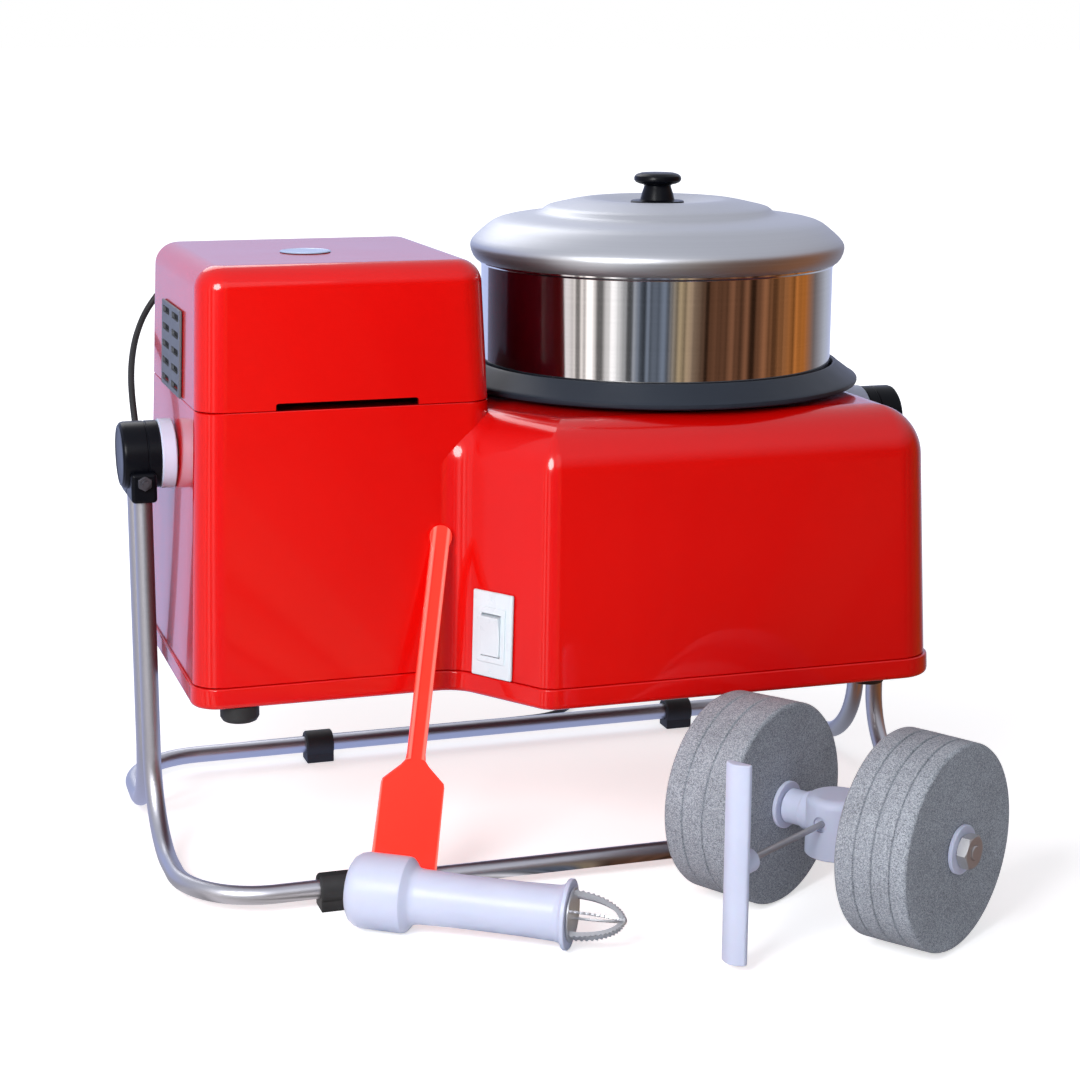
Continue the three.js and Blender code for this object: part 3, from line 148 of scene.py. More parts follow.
def place(bm, matrix):
    bmesh.ops.transform(bm, matrix=matrix, verts=bm.verts)
    return bm


def round_edges(bm, edges, width, segments):
    bmesh.ops.bevel(
        bm, geom=edges, offset=width, offset_type="OFFSET", segments=segments, profile=0.5,
        affect="EDGES", clamp_overlap=True, material=-1,
    )
    return bm


def soften(bm, width, segments=2, limit=25):
    """Rounds every edge that is sharper than the limit."""
    sharp = [e for e in bm.edges if len(e.link_faces) == 2 and e.calc_face_angle(0) > math.radians(limit)]
    return round_edges(bm, sharp, width, segments)


def spun(profile, steps, closed=False):
    """A turned shape round Z from its radii and heights."""
    bm = bmesh.new()
    points = [bm.verts.new((radius, 0, height)) for radius, height in profile]
    pairs = list(zip(points, points[1:])) + ([(points[-1], points[0])] if closed else [])
    edges = [bm.edges.new(pair) for pair in pairs]
    bmesh.ops.spin(
        bm, geom=points + edges, cent=(0, 0, 0), axis=UP, angle=2 * math.pi, steps=steps, use_merge=True
    )
    bmesh.ops.remove_doubles(bm, verts=bm.verts, dist=0.001)
    bmesh.ops.recalc_face_normals(bm, faces=bm.faces)
    return bm


def rod(radius, low, high, steps):
    bm = bmesh.new()
    bmesh.ops.create_cone(
        bm, cap_ends=True, segments=steps, radius1=radius, radius2=radius, depth=high - low,
        matrix=at(0, 0, (low + high) / 2),
    )
    return bm


def block(x0, x1, y0, y1, z0, z1):
    bm = bmesh.new()
    size = Matrix.Diagonal((x1 - x0, y1 - y0, z1 - z0, 1))
    bmesh.ops.create_cube(bm, size=1, matrix=at((x0 + x1) / 2, (y0 + y1) / 2, (z0 + z1) / 2) @ size)
    return bm


def slab(points, thickness):
    """A flat outline drawn out along a vector."""
    bm = bmesh.new()
    face = bm.faces.new([bm.verts.new(point) for point in points])
    made = bmesh.ops.extrude_face_region(bm, geom=[face])["geom"]
    bmesh.ops.translate(bm, verts=[v for v in made if isinstance(v, bmesh.types.BMVert)], vec=thickness)
    bmesh.ops.recalc_face_normals(bm, faces=bm.faces)
    return bm


def together(*shapes):
    """One mesh with all the shapes in it."""
    whole = bmesh.new()
    for shape in shapes:
        part = mesh_of(shape, "part")
        whole.from_mesh(part)
        bpy.data.meshes.remove(part)
    return whole


def boolean(bm, tool_shape, operation):
    piece = link("work", mesh_of(bm, "work"))
    tool = link("tool", mesh_of(tool_shape, "tool"))
    change = piece.modifiers.new("cut", "BOOLEAN")
    change.operation, change.solver, change.object = operation, "EXACT", tool
    apply_modifiers(piece)
    made = bmesh.new()
    made.from_mesh(piece.data)
    for item in (piece, tool):
        mesh = item.data
        bpy.data.objects.remove(item)
        bpy.data.meshes.remove(mesh)
    return made


def cut(body, *tools):
    """The body with each tool cut out of it in turn."""
    for tool in tools:
        body = boolean(body, tool, "DIFFERENCE")
    return body


def joined(body, *others):
    """The body and the others as one closed skin."""
    for other in others:
        body = boolean(body, other, "UNION")
    return body


def tube(name, points, radius, resolution):
    """A round tube along points of the stand's frame, moved to the row frame."""
    line = bpy.data.curves.new(name, "CURVE")
    line.dimensions = "3D"
    line.bevel_depth, line.bevel_resolution, line.use_fill_caps = radius, resolution, True
    spline = line.splines.new("POLY")
    spline.points.add(len(points) - 1)
    for point, where in zip(spline.points, points):
        point.co = (*where, 1)
    drawn = link(name, line)
    mesh = evaluated(drawn)
    bpy.data.objects.remove(drawn)
    bpy.data.curves.remove(line)
    mesh.transform(TO_ROW)
    return link(name, mesh)


def arc(centre, start, end, steps):
    """Points on the round from one arm to another about a centre."""
    angle = start.angle(end)
    points = []
    for k in range(steps + 1):
        arm = start * math.sin((1 - k / steps) * angle) + end * math.sin(k / steps * angle)
        points.append(centre + arm / math.sin(angle))
    return points


def corner(before, here, after, radius, steps):
    """Points on the round between two straight runs that meet here."""
    back, on = (before - here).normalized(), (after - here).normalized()
    half = back.angle(on) / 2
    centre = here + (back + on).normalized() * radius / math.sin(half)
    reach = radius / math.tan(half)
    return arc(centre, here + back * reach - centre, here + on * reach - centre, steps)


CORNER_STEPS, SMALLEST_ROUND = 10, 0.25


def outline(plan, z, grow, trim=0):
    """The plan's rounded outline at a height, moved out by grow; trim takes it in with its corners."""
    count = len(plan)
    sides = []
    for (x, y, _), (next_x, next_y, _) in zip(plan, plan[1:] + plan[:1]):
        along = Vector((next_x - x, next_y - y)).normalized()
        sides.append((Vector((x, y)) + Vector((along.y, -along.x)) * (grow - trim), along))
    moved = []
    for i in range(count):
        (a, da), (b, db) = sides[i - 1], sides[i]
        share = (b - a).cross(db) / da.cross(db)
        moved.append((a + da * share).to_3d() + UP * z)
    points = []
    for i in range(count):
        bend = sides[i - 1][1].cross(sides[i][1])
        radius = max(plan[i][2] - math.copysign(trim, bend), SMALLEST_ROUND)
        points += corner(moved[i - 1], moved[i], moved[(i + 1) % count], radius, CORNER_STEPS)
    return points


def lofted(rings):
    """A closed shape through outlines of one point count."""
    bm = bmesh.new()
    levels = [[bm.verts.new(point) for point in ring] for ring in rings]
    bm.faces.new(levels[0])
    bm.faces.new(levels[-1])
    for low, high in zip(levels, levels[1:]):
        for i in range(len(low)):
            bm.faces.new((low[i - 1], low[i], high[i], high[i - 1]))
    bmesh.ops.recalc_face_normals(bm, faces=bm.faces)
    return bm


def on_way(p, q, start, end, time):
    """The point between two others that are passed at a start and an end."""
    return p + (q - p) * ((time - start) / (end - start))


def smooth_path(points, step, steps_between=12):
    """A centripetal curve through the points, in even steps."""
    points = [Vector(p) for p in points]
    ends = [points[0] * 2 - points[1], *points, points[-1] * 2 - points[-2]]
    fine = []
    for a, b, c, d in zip(ends, ends[1:], ends[2:], ends[3:]):
        t = [0.0]
        for p, q in ((a, b), (b, c), (c, d)):
            t.append(t[-1] + max((q - p).length, 1e-6) ** 0.5)
        for k in range(steps_between):
            now = t[1] + (t[2] - t[1]) * k / steps_between
            ab, bc = on_way(a, b, t[0], t[1], now), on_way(b, c, t[1], t[2], now)
            cd = on_way(c, d, t[2], t[3], now)
            abc, bcd = on_way(ab, bc, t[0], t[2], now), on_way(bc, cd, t[1], t[3], now)
            fine.append(on_way(abc, bcd, t[1], t[2], now))
    fine.append(points[-1])
    lengths = [0.0]
    for p, q in zip(fine, fine[1:]):
        lengths.append(lengths[-1] + (q - p).length)
    count = round(lengths[-1] / step)
    even, here = [], 0
    for k in range(count):
        want = lengths[-1] * k / count
        while lengths[here + 1] < want:
            here += 1
        share = (want - lengths[here]) / (lengths[here + 1] - lengths[here])
        even.append(fine[here].lerp(fine[here + 1], share))
    return [*even, fine[-1]]


# cord route, from the relief down to the floor, round the coil and up to the plug
CORD_RADIUS = 3.0
LEAD = [
    (-286, 171, 485), (-286.4, 179.6, 484.5), (-289, 189, 481.2), (-294.6, 197, 474), (-302, 200, 464.5),
    (-309.6, 197.2, 454.6), (-316.8, 189, 444.2), (-324.5, 175, 430), (-330.5, 157, 415), (-334.5, 138, 400),
    (-336.5, 120.2, 384), (-337, 104.4, 366), (-337, 91.4, 348), (-337, 86, 332),
]
DOWN_AND_ROUND = [
    (-337, 82.8, 319), (-337, 79.8, 277), (-337, 79, 242), (-336.5, 79, 197), (-335.5, 79.5, 148),
    (-334, 80, 99), (-332.6, 81, 61.5), (-331.6, 84.5, 38), (-331, 92.5, 20.5), (-330.5, 104, 9.5),
    (-330, 117, 4.6), (-329.5, 131, 3.4), (-328, 150, 3.3), (-325, 172, 3.3), (-319, 197, 3.3),
    (-307, 221, 3.3), (-288, 239, 3.3), (-262, 246, 3.3), (-220, 249, 3.3), (-150, 250, 3.3), (-70, 250, 3.3),
    (10, 250, 3.3), (70, 250, 3.3), (104, 254, 3.3), (127, 266, 3.4), (141, 282, 3.7), (150, 300, 4.1),
    (158, 317, 4.5), (168, 329.5, 4.8), (179, 335.3, 4.9), (188, 336, 4.9), (194, 336, 4.9),
]
COIL_AT = (200, 375)
COIL_OUTER, COIL_PITCH, COIL_TURNS, COIL_LOW, LOOP_STEPS = 39, 6.8, 2, 4.9, 48
TAIL = [(213, 336, 11.9), (226, 336, 14.4), (238, 336, 18.6), (250, 336, 20.8), (257, 336, 21)]
LEAD_STEP, TAIL_STEP = 6, 5


def coil_points():
    """In on the lower layer, up, and out again on the upper one."""
    steps = COIL_TURNS * LOOP_STEPS
    points = []
    for k in range(2 * steps + 1):
        radius = COIL_OUTER - COIL_PITCH * min(k, 2 * steps - k) / LOOP_STEPS
        share = min(max((k - steps + LOOP_STEPS / 4) / (LOOP_STEPS / 2), 0), 1)
        climb = share * share * (3 - 2 * share)
        angle = 2 * math.pi * k / LOOP_STEPS - math.pi / 2
        points.append(Vector((
            COIL_AT[0] + radius * math.cos(angle), COIL_AT[1] + radius * math.sin(angle),
            COIL_LOW + COIL_PITCH * climb,
        )))
    return points


coil = coil_points()
cord_points = [point + FLOOR * UP for point in (
    smooth_path(LEAD + DOWN_AND_ROUND, LEAD_STEP)
    + coil
    + smooth_path([coil[-1] + Vector((3, 0, 0)), *TAIL], TAIL_STEP)
)]


# shader nodes
def feed(tree, made, inputs):
    """Links each input to the output it is given, or sets its value."""
    for key, value in inputs.items():
        if isinstance(value, bpy.types.NodeSocket):
            tree.links.new(value, made.inputs[key])
        else:
            made.inputs[key].default_value = value


def node(tree, kind, inputs=None, **settings):
    made = tree.nodes.new("ShaderNode" + kind)
    for name, value in settings.items():
        setattr(made, name, value)
    feed(tree, made, inputs or {})
    return made


def in_object(tree):
    return node(tree, "TexCoord").outputs["Object"]


def parts_of(tree, vector):
    return node(tree, "SeparateXYZ", {0: vector}).outputs


def maths(tree, operation, *values, clamp=False):
    return node(tree, "Math", dict(enumerate(values)), operation=operation, use_clamp=clamp).outputs[0]


def vector_maths(tree, operation, *vectors):
    made = node(tree, "VectorMath", dict(enumerate(vectors)), operation=operation)
    return made.outputs["Value" if operation in ("LENGTH", "DOT_PRODUCT") else "Vector"]


def brightened(tree, colour, factor):
    return node(tree, "VectorMath", {0: colour, "Scale": factor}, operation="SCALE").outputs[0]


def spread(tree, value, low, high, to_low=0.0, to_high=1.0):
    """Spreads the values from low to high over the range that is given, and holds them in it."""
    limits = {"Value": value, "From Min": low, "From Max": high, "To Min": to_low, "To Max": to_high}
    return node(tree, "MapRange", limits).outputs["Result"]


def mixed(tree, share, first, second):
    return node(tree, "Mix", {0: share, 6: first, 7: second}, data_type="RGBA").outputs[2]


def mixed_values(tree, share, first, second):
    return node(tree, "Mix", {0: share, 2: first, 3: second}, data_type="FLOAT").outputs[0]


def noise(tree, vector, scale, detail, roughness=0.5):
    look = {"Vector": vector, "Scale": scale, "Detail": detail, "Roughness": roughness}
    return node(tree, "TexNoise", look).outputs["Fac"]


def placed(tree, group, inputs):
    """The outputs of a group that gets its own values."""
    return node(tree, "Group", inputs, node_tree=group).outputs


# node groups
def new_group(name, inputs, outputs):
    """An empty group; an input's kind follows from its value, and an output's kind is given."""
    tree = bpy.data.node_groups.new(name, "ShaderNodeTree")
    for label, value in inputs.items():
        kind = "Float" if isinstance(value, float) else {3: "Vector", 4: "Color"}[len(value)]
        socket = tree.interface.new_socket(label, in_out="INPUT", socket_type="NodeSocket" + kind)
        socket.default_value = value
    for label, kind in outputs.items():
        tree.interface.new_socket(label, in_out="OUTPUT", socket_type="NodeSocket" + kind)
    return tree, tree.nodes.new("NodeGroupInput").outputs, tree.nodes.new("NodeGroupOutput")


def finish_group():
    """Slow change of colour and gloss, with fine grain for the bump."""
    tree, given, out = new_group(
        "finish",
        {"Colour": (0.5, 0.5, 0.5, 1), "Second colour": (0.4, 0.4, 0.4, 1), "Patch scale": 12.0,
         "Patch amount": 0.3, "Roughness": 0.4, "Roughness spread": 0.1, "Grain scale": 900.0},
        {"Colour": "Color", "Roughness": "Float", "Height": "Float"},
    )
    where = in_object(tree)
    patches = spread(tree, noise(tree, where, given["Patch scale"], 5, 0.6), 0.35, 0.68)
    amount = maths(tree, "MULTIPLY", patches, given["Patch amount"])
    gloss = noise(tree, where, maths(tree, "MULTIPLY", given["Patch scale"], 2.3), 4, 0.55)
    change = maths(tree, "MULTIPLY", maths(tree, "SUBTRACT", gloss, 0.5), given["Roughness spread"])
    feed(tree, out, {
        "Colour": mixed(tree, amount, given["Colour"], given["Second colour"]),
        "Roughness": maths(tree, "ADD", change, given["Roughness"], clamp=True),
        "Height": noise(tree, where, given["Grain scale"], 3),
    })
    return tree


def marks_group():
    """Fine parallel marks of spinning, drawing or polishing."""
    tree, given, out = new_group(
        "marks",
        {"Vector": (0, 0, 0), "Stretch": (1, 1, 40), "Scale": 60.0, "Roughness": 0.25,
         "Roughness spread": 0.15},
        {"Roughness": "Float", "Height": "Float", "Shade": "Float"},
    )
    drawn = vector_maths(tree, "MULTIPLY", given["Vector"], given["Stretch"])
    marks = noise(tree, drawn, given["Scale"], 6, 0.7)
    change = maths(tree, "MULTIPLY", marks, given["Roughness spread"])
    rough = maths(tree, "ADD", change, given["Roughness"], clamp=True)
    feed(tree, out, {"Roughness": rough, "Height": marks, "Shade": marks})
    return tree


def granite_group():
    """Granite: dark, pale and clear grains in a grey ground."""
    tree, given, out = new_group(
        "granite grains",
        {"Ground": (0.3, 0.32, 0.34, 1), "Dark grain": (0.08, 0.085, 0.09, 1),
         "Pale grain": (0.62, 0.64, 0.66, 1), "Scale": 500.0},
        {"Colour": "Color", "Height": "Float", "Roughness": "Float"},
    )
    where = in_object(tree)
    grains = node(tree, "TexVoronoi", {"Vector": where, "Scale": given["Scale"], "Randomness": 1.0}).outputs
    shade = node(tree, "SeparateColor", {0: grains["Color"]}).outputs
    dark = mixed(tree, spread(tree, shade[0], 0.62, 0.78), given["Ground"], given["Dark grain"])
    both = mixed(tree, spread(tree, shade[1], 0.6, 0.8), dark, given["Pale grain"])
    clouds = spread(tree, noise(tree, where, 18, 6, 0.65), 0.3, 0.7, 0.86, 1.14)
    feed(tree, out, {
        "Colour": brightened(tree, both, clouds),
        "Height": grains["Distance"],
        "Roughness": spread(tree, shade[2], 0, 1, 0.78, 0.92),
    })
    return tree


# the colour that lies in each direction, in degrees from the front
ALL_ROUND = [
    (-180, (0.37, 0.43, 0.66)), (-150, (0.38, 0.44, 0.7)), (-120, (0.42, 0.44, 0.62)),
    (-98, (0.36, 0.36, 0.4)), (-72, (0.4, 0.37, 0.36)), (-42, (0.3, 0.3, 0.31)), (-31, (0.06, 0.07, 0.09)),
    (-12, (0.05, 0.06, 0.08)), (-4, (0.17, 0.13, 0.08)), (5, (0.1, 0.07, 0.05)), (14, (0.05, 0.022, 0.012)),
    (48, (0.07, 0.03, 0.016)), (72, (0.1, 0.04, 0.015)), (92, (0.3, 0.1, 0.02)), (104, (0.12, 0.1, 0.1)),
    (122, (0.3, 0.32, 0.38)), (150, (0.36, 0.4, 0.6)), (180, (0.37, 0.43, 0.66)),
]
STRIPES_ROUND, ROOM_LIGHT = 42, 1.6


def surroundings_group():
    """What polished faces mirror: a pale sky behind, a dim room with upright stripes in front."""
    tree, given, out = new_group("surroundings", {"Direction": (0, 0, 0)}, {"Colour": "Color"})
    parts = parts_of(tree, given["Direction"])
    bearing = maths(tree, "ARCTAN2", parts[0], maths(tree, "MULTIPLY", parts[1], -1))
    share = maths(tree, "MULTIPLY_ADD", bearing, 0.5 / math.pi, 0.5)
    ramp = node(tree, "ValToRGB", {0: share})
    while len(ramp.color_ramp.elements) < len(ALL_ROUND):
        ramp.color_ramp.elements.new(0.5)
    for element, (degrees, colour) in zip(ramp.color_ramp.elements, ALL_ROUND):
        element.position = 0.5 + degrees / 360
        element.color = (*colour, 1)
    across = maths(tree, "MULTIPLY", share, STRIPES_ROUND)
    look = {"W": across, "Scale": 1.0, "Detail": 3, "Roughness": 0.7}
    stripes = node(tree, "TexNoise", look, noise_dimensions="1D").outputs["Fac"]
    level = spread(tree, stripes, 0.36, 0.64, 0.25, 2.8)
    unit = parts_of(tree, vector_maths(tree, "NORMALIZE", given["Direction"]))
    ahead = maths(tree, "MULTIPLY", unit[1], -1)
    strength = mixed_values(tree, spread(tree, ahead, -0.1, 0.35), 1.0, level)
    light = maths(tree, "MULTIPLY", strength, ROOM_LIGHT)
    feed(tree, out, {"Colour": brightened(tree, ramp.outputs[0], light)})
    return tree


FINISH, MARKS, GRANITE, SURROUNDINGS = finish_group(), marks_group(), granite_group(), surroundings_group()

# materials
GRAIN_SCALE, GRAIN_DEPTH, MARK_DEPTH, CRYSTAL_BUMP, CRYSTAL_DEPTH = 900.0, 0.0004, 0.0002, 0.25, 0.0006
COAT_ROUGHNESS = 0.04
DRUM_X = 124
DRUM_AXIS = row(DRUM_X, 0, 0)


def shader(name):
    material = bpy.data.materials.new(name)
    material.use_nodes = True
    return material, material.node_tree, material.node_tree.nodes["Principled BSDF"]


def bumped(tree, height, strength, distance):
    look = {"Height": height, "Strength": strength, "Distance": distance}
    return node(tree, "Bump", look).outputs[0]


def moulded(name, colour, second, roughness, gloss_change=0.1, patch=10.0, amount=0.4, bump=0.08,
            coat=0.0, metallic=0.0, level=0.5, **more):
    """Paint, plastic, rubber or plain metal with a slow change of colour and gloss."""
    material, tree, principled = shader(name)
    look = placed(tree, FINISH, {
        "Colour": (*colour, 1), "Second colour": (*second, 1), "Patch scale": patch, "Patch amount": amount,
        "Roughness": roughness, "Roughness spread": gloss_change, "Grain scale": GRAIN_SCALE,
    })
    feed(tree, principled, {
        "Base Color": look["Colour"], "Roughness": look["Roughness"],
        "Normal": bumped(tree, look["Height"], bump, GRAIN_DEPTH), "Metallic": metallic,
        "Coat Weight": coat, "Coat Roughness": COAT_ROUGHNESS, "Specular IOR Level": level,
        **{key.replace("_", " "): value for key, value in more.items()},
    })
    return material


def marked(name, colour, roughness, gloss_change, stretch, scale, axis=None, bump=0.1, shade=0.12):
    """Metal with marks that run along the piece, or round its axis where it has one."""
    material, tree, principled = shader(name)
    vector = in_object(tree)
    if axis:
        from_axis = {"Vector": vector, "Location": [-value for value in axis]}
        parts = parts_of(tree, node(tree, "Mapping", from_axis, vector_type="POINT").outputs[0])
        flat = node(tree, "CombineXYZ", {0: parts[0], 1: parts[1]}).outputs[0]
        vector = node(tree, "CombineXYZ", {0: vector_maths(tree, "LENGTH", flat), 2: parts[2]}).outputs[0]
    look = placed(tree, MARKS, {
        "Vector": vector, "Stretch": stretch, "Scale": scale, "Roughness": roughness,
        "Roughness spread": gloss_change,
    })
    darker, paler = [c * (1 - shade) for c in colour], [min(c * (1 + shade), 1) for c in colour]
    feed(tree, principled, {
        "Base Color": mixed(tree, look["Shade"], (*darker, 1), (*paler, 1)), "Roughness": look["Roughness"],
        "Normal": bumped(tree, look["Height"], bump, MARK_DEPTH), "Metallic": 1.0,
    })
    return material


def granite(name, ground, dark, pale, scale):
    material, tree, principled = shader(name)
    look = placed(tree, GRANITE, {
        "Ground": (*ground, 1), "Dark grain": (*dark, 1), "Pale grain": (*pale, 1), "Scale": scale,
    })
    feed(tree, principled, {
        "Base Color": look["Colour"], "Roughness": look["Roughness"],
        "Normal": bumped(tree, look["Height"], CRYSTAL_BUMP, CRYSTAL_DEPTH),
    })
    return material


def paint_shade_when_mirrored(material, colour):
    """Painted shade: the pan and the rails stand in the tower's shade, so they mirror it darker than it
    looks, and that darker red is painted in for mirrored rays.
    """
    tree = material.node_tree
    principled = tree.nodes["Principled BSDF"]
    looks = principled.inputs["Base Color"].links[0].from_socket
    mirrored = node(tree, "LightPath").outputs["Is Glossy Ray"]
    feed(tree, principled, {"Base Color": mixed(tree, mirrored, looks, (*colour, 1))})


red_gel = moulded("red gel coat", (0.68, 0.002, 0.001), (0.6, 0.0015, 0.001), 0.2, 0.08, coat=0.5,
                  patch=5, amount=0.5, bump=0.03, level=0.22)
# painted shade: the red gel turns dark maroon where polished faces mirror it
paint_shade_when_mirrored(red_gel, (0.14, 0.0, 0.006))
tube_steel = marked("stand tube steel", (0.5, 0.5, 0.54), 0.3, 0.16, (0.15, 8, 8), 90, shade=0.08)
pan_steel = marked("polished pan", (0.72, 0.71, 0.7), 0.05, 0.05, (1, 1, 14), 60, DRUM_AXIS, 0.04)
lid_metal = marked("spun lid", (0.55, 0.56, 0.59), 0.4, 0.12, (30, 1, 1), 60, DRUM_AXIS, 0.12)
zinc = moulded("zinc plate", (0.5, 0.5, 0.52), (0.4, 0.4, 0.42), 0.4, 0.2, metallic=0.6, patch=60)
black_gloss = moulded("black moulding", (0.003, 0.0035, 0.006), (0.006, 0.007, 0.01), 0.3, 0.12, patch=20,
                      level=0.12)
black_ring = moulded("turntable black", (0.018, 0.024, 0.036), (0.026, 0.034, 0.05), 0.4, 0.12, patch=14,
                     level=0.3)
rubber = moulded("black rubber", (0.014, 0.014, 0.015), (0.03, 0.03, 0.031), 0.62, 0.15, patch=50, bump=0.2)
white = moulded("white nylon", (0.6, 0.64, 0.81), (0.54, 0.58, 0.75), 0.36, 0.1, patch=25, amount=0.5,
                level=0.3, Subsurface_Weight=0.08, Subsurface_Scale=0.004)
switch_white = moulded("switch white", (0.68, 0.76, 0.81), (0.62, 0.7, 0.76), 0.28, 0.06, patch=30, level=0.3)
badge_foil = moulded("badge foil", (0.52, 0.6, 0.75), (0.4, 0.5, 0.68), 0.3, 0.1, metallic=0.7, patch=90)
grille_grey = moulded("grille grey", (0.09, 0.095, 0.11), (0.13, 0.135, 0.15), 0.45, 0.15, patch=70)
# near black and rough, for the sheet of painted shade behind the grille
painted_shade_black = moulded("painted shade inside", (0.004, 0.004, 0.005), (0.008, 0.008, 0.009), 0.9, 0.1)
dark_bolt = moulded("dark bolt", (0.1, 0.1, 0.12), (0.06, 0.06, 0.07), 0.4, 0.2, metallic=0.7, patch=60)
motor_grey = moulded("cast aluminium", (0.3, 0.31, 0.33), (0.2, 0.21, 0.22), 0.5, 0.2, metallic=0.8, patch=40)
plug_brass = moulded("plug brass", (0.7, 0.5, 0.2), (0.55, 0.38, 0.14), 0.28, 0.15, metallic=1.0, patch=90)
blade_steel = moulded("blade steel", (0.62, 0.63, 0.66), (0.5, 0.51, 0.54), 0.4, 0.2, metallic=0.6, patch=120)
stone_grey = granite("roller granite", (0.29, 0.315, 0.36), (0.17, 0.185, 0.215), (0.44, 0.47, 0.52), 1500)
bed_grey = granite("bed granite", (0.3, 0.32, 0.35), (0.16, 0.17, 0.185), (0.48, 0.5, 0.54), 1100)
# painted glow: the clear red gives out a little light of its own, so the spatula looks brighter
red_clear = moulded("clear red", (1.0, 0.06, 0.035), (0.95, 0.05, 0.03), 0.16, 0.06, patch=30, bump=0.04,
                    Transmission_Weight=0.3, IOR=1.49, Emission_Color=(1, 0.07, 0.04, 1),
                    Emission_Strength=0.28)

# cord, relief, plug and tie
cord = tube("cord", cord_points, CORD_RADIUS, 3)
smooth_shade(cord.data, 60)
cord.data.materials.append(rubber)
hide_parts("cord_lead", "cord_tube", "cord_coil")
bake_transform(cord)

RELIEF_AT = (-286, 140, 488)
PLUG_AT = (257.3, 336, 21 + FLOOR)
PIN_FACE = 56.3


def relief():
    """A flange and eight ribs that taper to the cord."""
    ribs = []
    for k in range(8):
        outer, inner, low = 6.4 - 0.28 * k, 5.2 - 0.22 * k, 5 + 3 * k
        ribs += [(outer, low), (outer, low + 1.6), (inner, low + 2), (inner, low + 2.8)]
    bm = spun([(0, 0), (9, 0), (9, 2.6), (6.6, 3), *ribs, (4.2, 29.4), (3.1, 29.9), (0, 29.9)], 40)
    soften(bm, 0.25, 1, 40)
    return place(bm, at(*RELIEF_AT) @ ALONG_Y)


def plug_shell():
    """Three ribs at the cord, a round body and four grip bars on each side."""
    ribs = []
    for radius, low in ((4.6, 3), (5.3, 9), (6, 15)):
        ribs += [(radius, low), (radius + 0.6, low + 0.4), (radius + 0.6, low + 2), (radius + 0.3, low + 2.4)]
    bm = spun([
        (0, 0), (4.3, 0), *ribs, (7, 21.5), (14.5, 22.5), (15.6, 26), (16.6, 32), (18, 37), (20.2, 42),
        (20.5, 47), (20.5, 55.4), (19.8, 56), (0, 56),
    ], 48)
    soften(bm, 0.5, 2, 35)
    for side in (-1, 1):
        for k in range(4):
            grip = block(26 + 4 * k, 27.8 + 4 * k, -8, 8, side * 14.2, side * (16.6 + 1.05 * k))
            bm = together(bm, soften(grip, 0.5, 2))
    return place(bm, at(*PLUG_AT) @ turn(90, "X") @ ALONG_X)


def plug_pin_set():
    parts = [rod(14.4, PIN_FACE, PIN_FACE + 2.3, 40)]
    for x, y, radius, reach in ((-5.5, 9.5, 2.5, 15), (-5.5, -9.5, 2.5, 15), (11, 0, 3.5, 21)):
        low, end = PIN_FACE + 1, PIN_FACE + reach
        pin = spun([(0, low), (radius, low), (radius, end - 1.2), (radius - 1, end), (0, end)], 24)
        parts.append(place(pin, at(-x, y, 0)))
    return place(together(*parts), at(*PLUG_AT) @ ALONG_X)


def tie_band():
    """A flat band round both layers of the coil, with its knuckle outside."""
    inner, outer = COIL_OUTER - COIL_PITCH * COIL_TURNS - 3, COIL_OUTER + 3
    low, high = COIL_LOW - 3, COIL_LOW + COIL_PITCH + 3
    band = cut(
        soften(block(inner - 1.7, outer + 1.7, -4, 4, low - 1.6, high + 1.7), 3.4, 6),
        soften(block(inner - 0.6, outer + 0.6, -6, 6, low - 0.6, high + 0.6), 2.6, 6),
    )
    knuckle = soften(block(outer + 0.4, outer + 1.9, -4.6, 4.6, low + 3, low + 9), 0.5)
    return place(together(band, knuckle), at(*COIL_AT, FLOOR))


settle("cord_relief_ribbed", relief(), "housing", rubber, "cord_rubber", "cord_relief")
plug = settle("plug_shell", plug_shell(), "root", black_gloss, "black_plastic", "plug_body")
pins = settle("plug_pin_set", plug_pin_set(), "root", plug_brass, "plug_brass", "plug_pins")
tie = settle("cord_tie_band", tie_band(), "root", white, "white_plastic", "cord_tie")

# housing
DRAFT = 0.04
TOWER_TOP, TRAY_BOTTOM, TRAY_TOP, DECK_TOP, SEAM = 528, 162, 180, 400, 409.5
DECK_EDGE, TOWER_EDGE, EDGE_STEPS = 42, 19, 14
TOWER_LEFT, TOWER_RIGHT, TOWER_FRONT, TOWER_REAR, TOWER_ROUND = -311.5, -70, -113, 138, 24
CHEEK_X, CHEEK, CHEEK_DEPTH, REAR_CHEEK_DEPTH = -39, 54.8, 83, 58
DECK_RIGHT, DECK_HALF = 300, 196
WALL, CAP_GAP = 3, 0.4
GRILLE_Y, GRILLE_Z = 11, 447.5

# each corner of a plan has its X, its Y and its round
TOWER = [
    (TOWER_LEFT, TOWER_FRONT, TOWER_ROUND), (TOWER_RIGHT, TOWER_FRONT, TOWER_ROUND),
    (TOWER_RIGHT, TOWER_REAR, TOWER_ROUND), (TOWER_LEFT, TOWER_REAR, TOWER_ROUND),
]
BASE = [
    TOWER[0], (CHEEK_X - CHEEK, TOWER_FRONT, 30), (CHEEK_X, -DECK_HALF, 20), (DECK_RIGHT, -DECK_HALF, 34),
    (DECK_RIGHT, DECK_HALF, 34), (CHEEK_X, DECK_HALF, 20),
    (CHEEK_X - CHEEK * REAR_CHEEK_DEPTH / CHEEK_DEPTH, TOWER_REAR, 30), TOWER[3],
]


def lean(z):
    return DRAFT * (TOWER_TOP - z)


